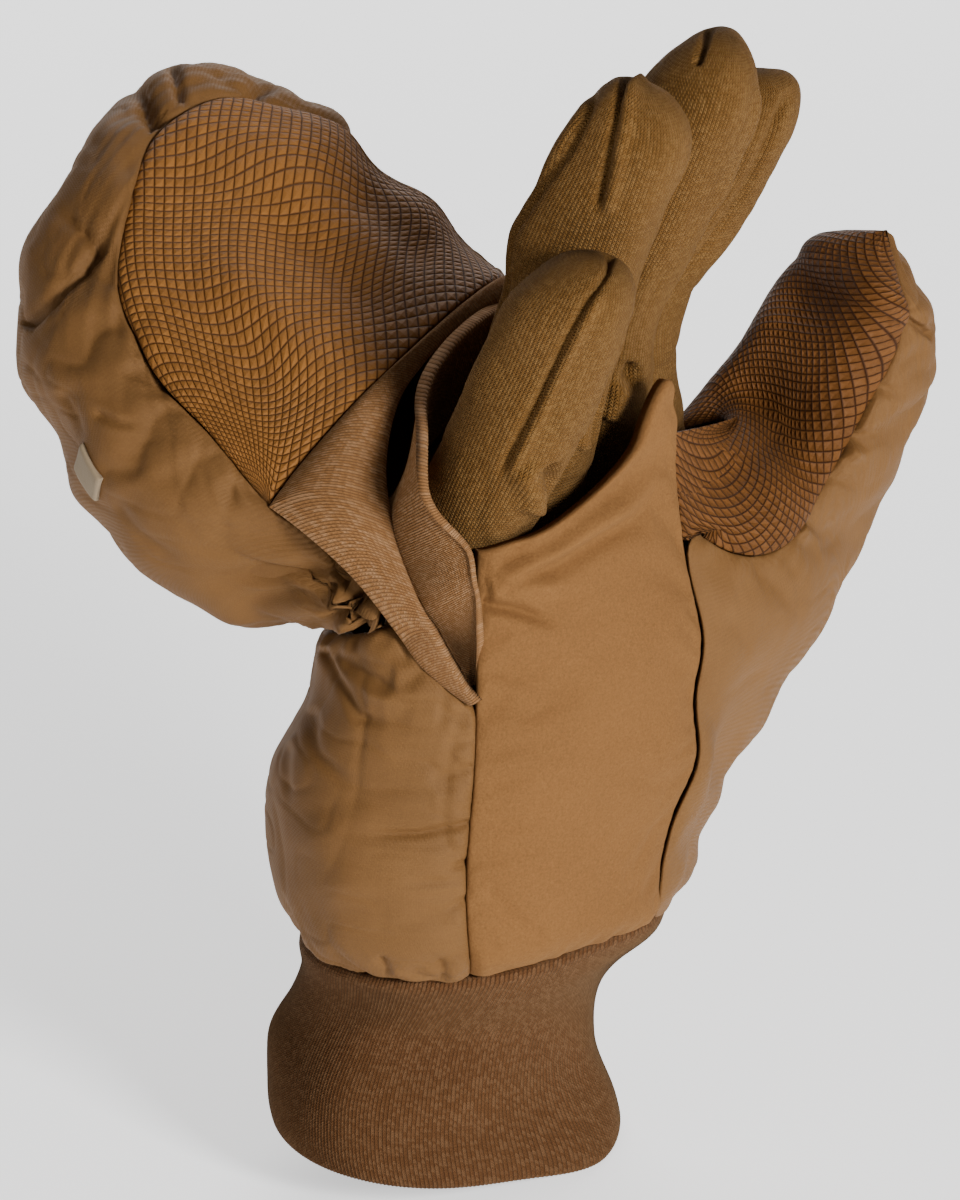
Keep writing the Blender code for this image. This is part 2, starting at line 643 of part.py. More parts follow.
def make_hood(shell_cloth, grip_cloth):
    """The hood's grip panel and the padded shell round and under it."""
    u, v = grid(19, 10)
    point = hood_grip_chart(u, v)
    outer = hood(point[..., 0], point[..., 1])
    inner = hood(point[..., 0], point[..., 1], GRIP_WALL)
    place("hood_grip", closed_wall(outer, inner, False, False), grip_cloth)
    u, v = grid(29, 13)
    point = hood_shell_chart(u, np.sin(0.5 * np.pi * v))
    outer = hood(point[..., 0], point[..., 1])
    inner = hood(point[..., 0], point[..., 1], PADDED_WALL)
    place("hood_shell", closed_wall(outer, inner, False, True), shell_cloth)


def make_hood_band(material):
    """The rib band of the hood's lip, whose seam lies against the grip's edge."""
    u, v = grid(25, 5)
    outer, inner = moved_in(hood_band, u, v, -RIB_WALL)
    on_lip = u[:, 0] >= BAND_CORNER
    inner[on_lip, 0] = hood(*lip_chart(u[on_lip, 0]), RIB_WALL)
    place("hood_rib_band", closed_wall(outer, inner, False, False), material)


def make_tab(material):
    """The small plain tab that lies on the hood's edge."""
    u, v = grid(7, 4)
    turn = np.radians(TAB_TURNS[0] + (TAB_TURNS[1] - TAB_TURNS[0]) * u)
    left = TAB_LEFT[1] + (TAB_LEFT[0] - TAB_LEFT[1]) * v
    x = left * np.cos(turn)
    y = left * np.sin(turn)
    lower = moved_in(hood, x, y, 0.5 * SEAM_GAP)[1]
    upper = moved_in(hood, x, y, 0.5 * SEAM_GAP + TAB_WALL)[1]
    place("hood_tab", closed_wall(upper, lower, False, False), material)


def make_fingers(material):
    """The glove's four fingers."""
    turn, along = ring_grid(14, 12)
    for row in FINGER_ROWS:
        outer = finger(row, turn, along, 0.0)
        inner = finger(row, turn, along, GLOVE_WALL)
        inner[:, 0, 2] = outer[:, 0, 2]
        place(row[0], closed_wall(outer, inner, True, True), material)


def build():
    """Clear the scene and build every piece of the mitten."""
    for thing in list(bpy.data.objects):
        bpy.data.objects.remove(thing)
    collection = bpy.data.collections.new("convertible_mitten")
    bpy.context.scene.collection.children.link(collection)
    woven = cloth("woven_shell", (0.20, 0.12, 0.055), 0.75)
    brushed = cloth("brushed_palm", (0.30, 0.17, 0.08), 0.90)
    grip = cloth("grip_cloth", (0.38, 0.20, 0.07), 0.60)
    rib = cloth("rib_knit", (0.24, 0.14, 0.07), 0.90)
    knit = cloth("glove_knit", (0.30, 0.17, 0.055), 0.95)
    make_cuff(rib)
    make_panel("palm_panel", palm, 13, 16, PALM_WALL, brushed)
    make_panel("back_shell", back, 25, 12, PADDED_WALL, woven)
    make_thumb(woven, grip)
    make_hood(woven, grip)
    make_hood_band(rib)
    make_panel("opening_rib_band", opening_band, 25, 5, RIB_WALL, rib)
    make_tab(cloth("tab_cloth", (0.30, 0.22, 0.14), 0.8))
    make_panel("glove_hand", glove_hand, 19, 6, GLOVE_WALL, knit)
    make_fingers(knit)


build()
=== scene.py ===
"""Looks of a convertible mitten: knitted cuff, padded woven shell, brushed palm and grips.

Each cloth piece is a wall between a dense outer skin and a plainer lining. A skin is a
surface over two shares, plus a relief along its normal: rolled edges, seams with puckers,
creases, crinkles, ribs and scales. Metres, +Z up, +X to the thumb, -Y out of the palm.
"""

from types import SimpleNamespace

import bmesh
import bpy
import mathutils
import numpy as np
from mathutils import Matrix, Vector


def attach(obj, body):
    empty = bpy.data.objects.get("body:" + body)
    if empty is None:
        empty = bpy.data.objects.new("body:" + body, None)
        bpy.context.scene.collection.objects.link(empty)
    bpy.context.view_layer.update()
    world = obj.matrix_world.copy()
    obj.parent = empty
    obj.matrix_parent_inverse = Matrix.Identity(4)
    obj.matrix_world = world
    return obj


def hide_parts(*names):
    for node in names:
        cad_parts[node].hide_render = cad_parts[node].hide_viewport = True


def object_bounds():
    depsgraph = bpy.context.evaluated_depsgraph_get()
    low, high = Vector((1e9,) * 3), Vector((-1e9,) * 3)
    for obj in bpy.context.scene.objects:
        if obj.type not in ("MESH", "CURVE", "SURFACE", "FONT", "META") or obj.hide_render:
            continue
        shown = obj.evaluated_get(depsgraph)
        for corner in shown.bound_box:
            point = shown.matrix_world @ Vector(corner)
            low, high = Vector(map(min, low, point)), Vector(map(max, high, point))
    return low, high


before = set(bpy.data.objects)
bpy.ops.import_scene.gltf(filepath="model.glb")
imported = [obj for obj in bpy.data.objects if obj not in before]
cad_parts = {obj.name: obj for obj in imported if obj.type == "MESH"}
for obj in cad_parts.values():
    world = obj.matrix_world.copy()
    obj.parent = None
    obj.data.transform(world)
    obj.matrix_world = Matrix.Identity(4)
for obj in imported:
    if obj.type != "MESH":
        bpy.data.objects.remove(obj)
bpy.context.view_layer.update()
MM = 1e-3

# Sizes of the cuff and of the mitten's hand
CUFF_HEIGHT = 0.045
CUFF_WIDTH = 0.083
CUFF_DEPTH = 0.058
HAND_HEIGHT = 0.099
HAND_WIDTH = 0.100
HAND_DEPTH = 0.070

# Sizes of the thumb, of the hood and of the glove's fingers
THUMB_LENGTH = 0.100
THUMB_WIDTH = 0.036
HOOD_LENGTH = 0.0815
HOOD_WIDTH = 0.100
HOOD_DEPTH = 0.056
FINGER_LENGTH = 0.098
FINGER_WIDTH = 0.0210
FINGER_DEPTH = 0.0275

# Walls and clearances
CUFF_WALL = 0.0030
PADDED_WALL = 0.0050
PALM_WALL = 0.0020
GRIP_WALL = 0.0024
RIB_WALL = 0.0018
GLOVE_WALL = 0.0016
SEAM_GAP = 0.00005
FOLD_GAP = 0.0005

# Cuff sections: height, middle x and y, half width, half depth, squareness.
# Heights are shares of CUFF_HEIGHT, x and half widths of CUFF_WIDTH, y and depths of CUFF_DEPTH.
CUFF_ROWS = np.array([
    (0.00, 0.000, 0.000, 0.480, 0.480, 2.0),
    (0.10, -0.004, 0.010, 0.488, 0.489, 2.0),
    (0.34, -0.008, 0.018, 0.468, 0.468, 2.0),
    (0.62, 0.014, -0.020, 0.448, 0.446, 2.0),
    (0.82, 0.030, -0.085, 0.475, 0.472, 2.1),
    (1.00, 0.049, -0.146, 0.535, 0.518, 2.2),
])
# Slope of its lower edge across and from front to back
CUFF_TILT = (-0.056, 0.16)

# Hand sections from the cuff's seam to the knuckles: height, middle x and y, half width,
# half depth, squareness. Shares of HAND_HEIGHT, HAND_WIDTH and HAND_DEPTH.
HAND_ROWS = np.array([
    (-0.04, 0.040, -0.121, 0.425, 0.405, 2.2),
    (0.00, 0.040, -0.121, 0.445, 0.430, 2.2),
    (0.05, 0.040, -0.120, 0.480, 0.480, 2.2),
    (0.15, 0.045, -0.115, 0.505, 0.520, 2.2),
    (0.30, 0.065, -0.135, 0.512, 0.520, 2.2),
    (0.46, 0.095, -0.165, 0.510, 0.500, 2.25),
    (0.66, 0.125, -0.195, 0.500, 0.440, 2.3),
    (0.86, 0.148, -0.228, 0.490, 0.345, 2.4),
    (1.00, 0.155, -0.243, 0.475, 0.305, 2.4),
    (1.14, 0.160, -0.250, 0.455, 0.285, 2.4),
])

# Seams of the hand, as turns in degrees about +Z from the thumb's side, and as heights
THUMB_FRONT = -80.0
THUMB_BACK = 20.0
THUMB_TOP = 0.78
# The seam between palm and side: height and turn
SIDE_SEAM = np.array([
    (-0.04, 221.0),
    (0.00, 221.0),
    (0.30, 217.0),
    (0.60, 213.0),
    (0.95, 212.0),
    (1.10, 212.0),
])
# The palm's upper edge: share of the way from the side seam to the thumb, height
PALM_TOP = np.array([
    (0.00, 0.89),
    (0.25, 0.905),
    (0.50, 0.935),
    (0.75, 1.00),
    (0.92, 1.07),
    (1.00, 1.00),
])
# The back's upper edge, where the hood folds over: turn, height
BACK_TOP = np.array([
    (20.0, 0.85),
    (45.0, 0.73),
    (90.0, 0.61),
    (140.0, 0.65),
    (165.0, 0.70),
    (178.0, 0.725),
    (195.0, 0.655),
    (212.0, 0.580),
])
BACK_END = BACK_TOP[-1, 0]
# Under the band the side runs up a little further: turn, width and height of that tongue
UNDER_PINCH = (199.0, 8.0, 0.045)

# Thumb sections above the crotch: share of the way, the section's point next to the fingers and
# its outer point, both as shares of THUMB_LENGTH, then its half depth as a share of THUMB_WIDTH
THUMB_ROWS = np.array([
    (0.00, -0.04, 0.02, 0.06, -0.13, 0.08, -0.73, 0.95),
    (0.25, 0.01, 0.01, 0.12, 0.045, 0.04, -0.60, 0.74),
    (0.50, 0.045, 0.00, 0.19, 0.240, 0.00, -0.33, 0.55),
    (0.68, 0.08, -0.03, 0.27, 0.385, -0.07, -0.06, 0.46),
    (0.84, 0.14, -0.08, 0.36, 0.435, -0.13, 0.19, 0.39),
    (0.95, 0.18, -0.13, 0.415, 0.385, -0.15, 0.345, 0.29),
    (1.00, 0.283, -0.156, 0.442, 0.287, -0.157, 0.440, 0.004),
])
# Share of the thumb between its inner side's end and its tip
THUMB_TIP_SHARE = 0.07
# The wall at the gusset as a share of the whole, and the share of the way in which it thickens
GUSSET_THIN = 0.20
GUSSET_REACH = 0.35
# The gusset is this square on the hand, and the thumb is round beyond this share of the way
GUSSET_SQUARENESS = 24.0
THUMB_SQUARENESS = 2.2
THUMB_BLEND = 0.45
# The grip's foot climbs the palm's edge to the web of the thumb: the shares of the foot at which
# it is highest and is down at the palm's seam again, how high it climbs, the degrees that it turns
# on past that seam, and the shares beside its own seam and its end in which it is held back
WEB_FOOT = 0.76
WEB_CORNER = 0.95
WEB_RISE = 0.21
WEB_PAST = 7.3
WEB_HELD = (0.08, 0.03)
# Directions that the thumb's sections face, out of the hand and at its tip, and the share of the
# way at which they begin to turn and the share that the turn takes
THUMB_OUT = np.array((0.80, -0.25, 0.10))
THUMB_UP = np.array((0.30, -0.35, 0.90))
THUMB_TURNED = (0.1, 0.75)
# Half turn that the thumb's grip takes: share of the way, degrees
GRIP_TURN = np.array([(0.0, 40.5), (0.3, 62.0), (0.6, 80.0), (1.0, 88.0)])

# Hood sections from its mouth to its tip: share of the way, length, middle across, middle
# above the lip, half width, half depth. Lengths are shares of HOOD_LENGTH, widths of
# HOOD_WIDTH and depths of HOOD_DEPTH. The last row mirrors the one before the tip.
HOOD_ROWS = np.array([
    (-0.10, -0.10, 0.429, -0.337, 0.461, 0.486),
    (0.00, 0.00, 0.4245, -0.352, 0.4685, 0.486),
    (0.20, 0.21, 0.401, -0.402, 0.500, 0.491),
    (0.40, 0.46, 0.407, -0.411, 0.495, 0.482),
    (0.55, 0.66, 0.429, -0.384, 0.459, 0.455),
    (0.70, 0.83, 0.456, -0.325, 0.366, 0.380),
    (0.85, 0.96, 0.484, -0.270, 0.214, 0.235),
    (1.00, 1.00, 0.500, -0.250, 0.000, 0.000),
    (1.15, 0.96, 0.484, -0.270, -0.214, -0.235),
])
HOOD_SQUARENESS = 2.5
# Unit directions of the hood: along it, across it to the thumb's side, out of its grip
HOOD_ALONG = np.array((0.0, 0.872, 0.490))
HOOD_ACROSS = np.array((0.966, 0.0, 0.259))
HOOD_OUT = np.array((-0.226, -0.473, 0.842))
# Where the hood's lip starts on the little finger's side: shares of HAND_WIDTH and
# HAND_DEPTH, and height above the cuff's seam as a share of HAND_HEIGHT
HOOD_CORNER = np.array((-0.40, 0.165, 0.955))
# The fold: the chart turns it takes, the hand's turn at which it starts, the chart turns
# between which the hood is drawn to it, and the share left to the tip where that begins
FOLD_TURNS = (168.0, 372.0)
FOLD_START = 186.0
HOLD_TURNS = (146.0, 188.0, 358.0, 388.0)
HOLD_LEFT = 0.68
# How far the middle of the hood's back runs up from its mouth, in shares of the chart
HOOD_MIDDLE = 0.62
# How far the mouth's edge is tucked in under the band, the turns between which it is, the turns
# in which that fades, and the share left to the tip at which it begins
TUCK = 0.10
TUCK_TURNS = (143.0, 192.0)
TUCK_FADES = (12.0, 14.0)
TUCK_LEFT = 0.75
# The seam round the hood's grip: share of the way, turn in degrees, share left to the tip
HOOD_SEAM = np.array([
    (0.00, 147.0, 1.00),
    (0.18, 134.0, 0.80),
    (0.34, 130.0, 0.58),
    (0.44, 121.0, 0.43),
    (0.52, 94.0, 0.30),
    (0.60, 64.0, 0.32),
    (0.70, 44.0, 0.45),
    (0.84, 33.0, 0.72),
    (1.00, 28.0, 1.00),
])

# Sections of the glove's hand, open to the thumb: height, middle x and y, half width, half depth,
# squareness. Shares of HAND_HEIGHT, HAND_WIDTH and HAND_DEPTH.
GLOVE_ROWS = np.array([
    (0.02, 0.040, -0.120, 0.375, 0.350, 2.3),
    (0.20, 0.060, -0.130, 0.410, 0.370, 2.4),
    (0.45, 0.095, -0.160, 0.425, 0.300, 2.6),
    (0.65, 0.120, -0.200, 0.425, 0.210, 3.0),
    (0.82, 0.135, -0.245, 0.415, 0.155, 3.6),
])
# Turns at which the glove's hand starts behind the thumb and ends before it
GLOVE_TURNS = (24.0, 283.0)
# The web between thumb and index finger: the share of the way up at which the glove's hand
# begins to close on that side, the share it takes, and the turn at which its edges meet
WEB_START = 0.60
WEB_REACH = 0.22
WEB_TURN = 330.0

# The plain tab on the hood's edge: turn and share left to the tip, from and to
TAB_TURNS = (172.0, 188.0)
TAB_LEFT = (0.58, 0.66)

# The free edge of the band on the hood's lip: share of the way, then the point in shares of
# HAND_WIDTH, HAND_DEPTH and HAND_HEIGHT above the cuff's seam
HOOD_BAND_FREE = np.array([
    (0.00, -0.340, -0.450, 0.600),
    (0.12, -0.358, -0.385, 0.695),
    (0.24, -0.358, -0.295, 0.795),
    (0.36, -0.320, -0.180, 0.905),
    (0.48, -0.232, -0.062, 1.005),
    (0.58, -0.100, 0.032, 1.068),
    (0.68, 0.010, 0.060, 1.110),
    (0.80, 0.160, 0.072, 1.145),
    (0.90, 0.330, 0.075, 1.150),
    (1.00, 0.500, 0.050, 1.110),
])
# The hand's turn at which that band starts, the shares of its way at which it leaves the back's
# edge and reaches the hood's grip, and how its seam bows between them
BAND_START = 210.5
BAND_FOLD = 0.18
BAND_CORNER = 0.40
BAND_BOW = np.array((-0.007, -0.008, 0.012))
# The way it arches between its edges, how far, and the share of its way in which that starts
BAND_UP = np.array((-0.30, 0.10, 0.90))
BAND_ARCH = 0.16
BAND_ARCH_START = 0.25
# Share of the grip's edge that the band takes
LIP_SHARE = 0.985
# The band behind the fingers: share of the way, then turn, height and depth inside the hand's
# surface of its hidden edge and of its free edge. Depths are shares of the way to the middle.
OPENING_BAND = np.array([
    (0.00, 203.0, 0.600, 0.17, 209.5, 0.625, 0.12),
    (0.12, 198.0, 0.680, 0.15, 211.5, 0.730, 0.02),
    (0.26, 186.0, 0.745, 0.08, 211.5, 0.830, -0.01),
    (0.40, 168.0, 0.800, 0.10, 207.0, 0.920, 0.01),
    (0.52, 145.0, 0.850, 0.11, 186.0, 0.990, 0.06),
    (0.64, 127.0, 0.900, 0.19, 150.0, 1.080, 0.24),
    (0.76, 100.0, 0.950, 0.06, 100.0, 1.150, 0.10),
    (0.88, 72.0, 0.960, -0.05, 71.0, 1.140, -0.08),
    (1.00, 46.0, 0.930, -0.03, 46.0, 1.080, -0.05),
])

# Fingers: name, then the middle at the base, over the knuckle and at the tip, across and from
# front to back in shares of HAND_WIDTH and HAND_DEPTH, then length as a share of FINGER_LENGTH
FINGER_ROWS = (
    ("glove_little_finger", (-0.163, -0.235), (-0.168, -0.340), (-0.120, -0.640), 0.675),
    ("glove_ring_finger", (0.043, -0.235), (0.050, -0.275), (0.098, -0.580), 0.935),
    ("glove_middle_finger", (0.250, -0.215), (0.265, -0.250), (0.310, -0.610), 0.960),
    ("glove_index_finger", (0.462, -0.205), (0.472, -0.190), (0.525, -0.520), 0.830),
)
FINGER_BASE = 0.82
FINGER_KNUCKLE = 0.25
# Share of a finger's rows below its rounded tip
FINGER_STRAIGHT = 0.62
# How much slimmer a finger is at its base and at its tip, how much shallower at each, its
# squareness and what its base adds, the shares of its way in which width, depth and squareness
# leave the base's values, and the share at which it starts to get shallower to its tip
FINGER_SLIM = 0.06
FINGER_SHALLOW = (0.26, 0.06)
FINGER_SQUARENESS = (2.1, 0.7)
FINGER_FADES = (0.15, 0.32, 0.35)
FINGER_TIP = 0.3


def through(rows, at):
    """Values of a table's further columns at shares of its first, on a smooth curve."""
    rows = np.asarray(rows, dtype=float)
    knots = rows[:, 0]
    values = rows[:, 1:]
    slopes = np.gradient(values, knots, axis=0)
    at = np.clip(np.asarray(at, dtype=float), knots[0], knots[-1])
    low = np.clip(np.searchsorted(knots, at, side="right") - 1, 0, len(knots) - 2)
    span = (knots[low + 1] - knots[low])[..., None]
    share = (at - knots[low])[..., None] / span
    squared = share * share
    cubed = squared * share
    return (
        (2.0 * cubed - 3.0 * squared + 1.0) * values[low]
        + (cubed - 2.0 * squared + share) * span * slopes[low]
        + (3.0 * squared - 2.0 * cubed) * values[low + 1]
        + (cubed - squared) * span * slopes[low + 1]
    )


def rounded(turn, squareness):
    """Point at a turn on a rounded square of half width 1: 2 is a circle, more is squarer."""
    cosine = np.cos(turn)
    sine = np.sin(turn)
    reach = (np.abs(cosine) ** squareness + np.abs(sine) ** squareness) ** (1.0 / squareness)
    return cosine / reach, sine / reach


def smooth_step(value):
    """0 below 0, 1 above 1, and an even S between."""
    value = np.clip(value, 0.0, 1.0)
    return value * value * (3.0 - 2.0 * value)


def moved_in(surface, u, v, depth, reach=1e-4):
    """A surface's points and the same points moved against its normal by a depth.

    The normal is that of a small cross laid on the surface, its arms reach long across.
    """
    step = 1e-4
    across = surface(u + reach, v) - surface(u - reach, v)
    along = surface(u, v + step) - surface(u, v - step)
    normal = np.cross(across, along)
    normal /= np.maximum(np.linalg.norm(normal, axis=-1, keepdims=True), 1e-12)
    points = surface(u, v)
    return points, points - normal * np.asarray(depth)[..., None]


def section(rows, at, turn, width, depth):
    """Point of a table's section at a turn: its middle plus its half sizes on a rounded square."""
    middle_x, middle_y, half_width, half_depth, squareness = np.moveaxis(through(rows, at), -1, 0)
    cosine, sine = rounded(turn, squareness)
    return width * (middle_x + half_width * cosine), depth * (middle_y + half_depth * sine)


def cuff(turn, height):
    """The cuff's outer surface: its section at each height, the lower edge sloped by a tilt."""
    x, y = section(CUFF_ROWS, height, turn, CUFF_WIDTH, CUFF_DEPTH)
    tilt = (1.0 - smooth_step(height)) * (CUFF_TILT[0] * x + CUFF_TILT[1] * y)
    return np.stack((x, y, CUFF_HEIGHT * height + tilt), axis=-1)


def hand(turn, height):
    """The mitten's outer surface round the hand: its section at each height above the cuff."""
    x, y = section(HAND_ROWS, height, turn, HAND_WIDTH, HAND_DEPTH)
    return np.stack((x, y, CUFF_HEIGHT + HAND_HEIGHT * height), axis=-1)


def at_hand(shares):
    """Point from shares of the hand's width, depth and height above the cuff's seam."""
    return shares * np.array((HAND_WIDTH, HAND_DEPTH, HAND_HEIGHT)) + np.array((0.0, 0.0, CUFF_HEIGHT))


def seam_turn(height):
    """Turn of the seam between palm and side at a height, in degrees."""
    return through(SIDE_SEAM, height)[..., 0]


def gap_turn():
    """Half of the gap at an upright seam, in degrees of turn about the hand."""
    return np.degrees(SEAM_GAP / HAND_WIDTH)


def palm(u, v):
    """Palm panel: u from the side seam to the thumb's seam, v from the cuff to its upper edge.

    The hand's surface between the turns of those two seams.
    """
    top = through(PALM_TOP, u)[..., 0]
    bottom = SEAM_GAP / HAND_HEIGHT
    height = bottom + (top - bottom) * v
    start = seam_turn(height) + gap_turn()
    end = 360.0 + THUMB_FRONT - gap_turn()
    return hand(np.radians(start + (end - start) * u), height)


def back(u, v):
    """Back and side: u from the thumb round the back to the palm, v from the cuff to the fold.

    The hand's surface between two seams, with a small tongue under the band.
    """
    around = THUMB_BACK + (BACK_END - THUMB_BACK) * u
    top = through(BACK_TOP, around)[..., 0]
    top = top + UNDER_PINCH[2] * np.exp(-(((around - UNDER_PINCH[0]) / UNDER_PINCH[1]) ** 2))
    bottom = SEAM_GAP / HAND_HEIGHT
    height = bottom + (top - bottom) * v
    start = THUMB_BACK + gap_turn()
    end = seam_turn(height) - gap_turn()
    return hand(np.radians(start + (end - start) * u), height)


def glove_hand(u, v):
    """The glove's hand: u from the thumb's opening round the back to the palm, v up.

    Its section at each height between two turns, which near the web come together at one.
    """
    start = GLOVE_ROWS[0, 0]
    height = start + (FINGER_BASE - SEAM_GAP / HAND_HEIGHT - start) * v
    web = smooth_step((v - WEB_START) / WEB_REACH)
    start = GLOVE_TURNS[0] - (GLOVE_TURNS[0] + 360.0 - WEB_TURN) * web
    end = GLOVE_TURNS[1] + (WEB_TURN - GLOVE_TURNS[1]) * web
    x, y = section(GLOVE_ROWS, height, np.radians(start + (end - start) * u), HAND_WIDTH, HAND_DEPTH)
    return np.stack((x, y, CUFF_HEIGHT + HAND_HEIGHT * height), axis=-1)


def thumb_outline(turn):
    """Turn about the hand and height of the thumb's gusset, round its outline on the hand."""
    upright, sideways = rounded(turn, GUSSET_SQUARENESS)
    middle = 0.5 * (THUMB_FRONT + THUMB_BACK)
    half = 0.5 * (THUMB_BACK - THUMB_FRONT) - 3.0 * gap_turn()
    low = SEAM_GAP / HAND_HEIGHT
    high = THUMB_TOP - SEAM_GAP / HAND_HEIGHT
    height = 0.5 * (low + high) + 0.5 * (high - low) * upright
    return np.radians(middle - half * sideways), height


def thumb(turn, along):
    """Thumb's outer surface: turn 0 next to the fingers, 90 degrees on the palm's side.

    It starts as the gusset's outline on the hand and blends into rounded sections that stand
    between a point next to the fingers and an outer point.
    """
    crotch = hand(np.radians(0.5 * (THUMB_FRONT + THUMB_BACK)), np.float64(THUMB_TOP))
    values = through(THUMB_ROWS, along)
    near = crotch + THUMB_LENGTH * values[..., 0:3]
    far = crotch + THUMB_LENGTH * values[..., 3:6]
    half_depth = THUMB_WIDTH * values[..., 6]
    upright = 0.5 * (near - far)
    sideways = np.cross(upright, thumb_way(along))
    sideways /= np.linalg.norm(sideways, axis=-1, keepdims=True)
    cosine, sine = rounded(turn, THUMB_SQUARENESS)
    ring = 0.5 * (near + far) + upright * cosine[..., None]
    ring = ring - sideways * (half_depth * sine)[..., None]
    blend = np.sin(0.5 * np.pi * np.clip(along / THUMB_BLEND, 0.0, 1.0))[..., None]
    return hand(*thumb_outline(turn)) * (1.0 - blend) + ring * blend


def thumb_way(along):
    """Direction that the thumb's sections face, from out of the hand to up its tip."""
    share = smooth_step((along - THUMB_TURNED[0]) / THUMB_TURNED[1])[..., None]
    way = THUMB_OUT * (1.0 - share) + THUMB_UP * share
    return way / np.linalg.norm(way, axis=-1, keepdims=True)


def hood(x, y, inset=0.0):
    """Hood's surface over a round chart: its tip at 0, its mouth on the unit circle.

    Away from the mouth it has the hood's own sections, and at the mouth's lower half it
    is drawn to the edge of the hand's back, where the hood is folded over.
    """
    left = np.hypot(x, y)
    turn = np.arctan2(y, x)
    values = through(HOOD_ROWS, 1.0 - left)
    length, across, out, half_width, half_depth = np.moveaxis(values, -1, 0)
    cosine, sine = rounded(turn, HOOD_SQUARENESS)
    half_width = half_width * (1.0 - 2.0 * inset / HOOD_WIDTH)
    half_depth = half_depth * (1.0 - 2.0 * inset / HOOD_DEPTH)
    free = (
        at_hand(HOOD_CORNER)
        + HOOD_ACROSS * (HOOD_WIDTH * (across + half_width * cosine))[..., None]
        + HOOD_OUT * (HOOD_DEPTH * (out + half_depth * sine))[..., None]
        + HOOD_ALONG * ((HOOD_LENGTH - inset) * length)[..., None]
    )
    degrees = np.degrees(np.mod(turn - 0.5 * np.pi, 2.0 * np.pi)) + 90.0
    share = np.clip((degrees - FOLD_TURNS[0]) / (FOLD_TURNS[1] - FOLD_TURNS[0]), 0.0, 1.0)
    around = FOLD_START + (THUMB_BACK - FOLD_START) * share
    height = through(BACK_TOP, around)[..., 0] + (FOLD_GAP + inset) / HAND_HEIGHT
    hold = smooth_step((degrees - HOLD_TURNS[0]) / (HOLD_TURNS[1] - HOLD_TURNS[0]))
    hold = hold * smooth_step((HOLD_TURNS[3] - degrees) / (HOLD_TURNS[3] - HOLD_TURNS[2]))
    near = np.clip((left - HOLD_LEFT) / (1.0 - HOLD_LEFT), 0.0, 1.02)
    hold = hold * (1.0 - np.cos(0.5 * np.pi * near))
    return free * (1.0 - hold[..., None]) + hand(np.radians(around), height) * hold[..., None]


def hood_seam(share, outside):
    """Chart point of the seam round the hood's grip, moved to its outside by half a gap."""
    values = through(HOOD_SEAM, share)
    turn = np.radians(values[..., 0])
    left = values[..., 1] - outside * SEAM_GAP / HOOD_LENGTH
    side = np.where(share < 0.5, 1.0, -1.0) * np.abs(np.cos(turn))
    turn = turn + side * outside * SEAM_GAP / HOOD_WIDTH
    left = np.where((share <= 0.0) | (share >= 1.0), 1.0, left)
    return np.stack((left * np.cos(turn), left * np.sin(turn)), axis=-1)


def rim(point, share):
    """Chart points on the hood's mouth from a point there down to the middle of its back."""
    height = point[..., 1] * (1.0 - share) - share
    across = np.sign(point[..., 0]) * np.sqrt(np.maximum(1.0 - height * height, 0.0))
    return np.stack((across, height), axis=-1)


def hood_grip_chart(u, v):
    """Chart of the grip: u from the little finger's side to the thumb's, v from lip to seam."""
    seam = hood_seam(u, -1.0)
    ends = hood_seam(np.array((0.0, 1.0)), -1.0)
    start, end = np.arctan2(ends[:, 1], ends[:, 0])
    turn = start + (end - start) * u
    lip = np.stack((np.cos(turn), np.sin(turn)), axis=-1)
    return lip + (seam - lip) * v[..., None]


def hood_shell_chart(u, v):
    """Chart of the shell: u along the grip's seam, v over the edge to the middle of the back.

    The row v = 1 runs up the middle of the back and down again, so its two halves meet.
    """
    ends = hood_seam(np.array((0.0, 1.0)), 1.0)
    foot = np.array((0.0, -1.0))
    way_up = 1.0 - np.abs(2.0 * u - 1.0)
    middle = np.stack((0.0 * u, -1.0 + HOOD_MIDDLE * way_up), axis=-1)
    u3 = u[..., None]
    v3 = v[..., None]
    ruled = hood_seam(u, 1.0) * (1.0 - v3) + middle * v3
    ruled = ruled + rim(ends[0], v) * (1.0 - u3) + rim(ends[1], v) * u3
    chart = ruled - (1.0 - v3) * ((1.0 - u3) * ends[0] + u3 * ends[1]) - v3 * foot
    turned = np.degrees(np.mod(np.arctan2(chart[..., 1], chart[..., 0]), 2.0 * np.pi))
    tuck = smooth_step((turned - TUCK_TURNS[0]) / TUCK_FADES[0])
    tuck = tuck * smooth_step((TUCK_TURNS[1] - turned) / TUCK_FADES[1])
    left = np.hypot(chart[..., 0], chart[..., 1])
    tuck = TUCK * tuck * smooth_step((left - TUCK_LEFT) / (1.0 - TUCK_LEFT))
    return chart * (1.0 + tuck[..., None])


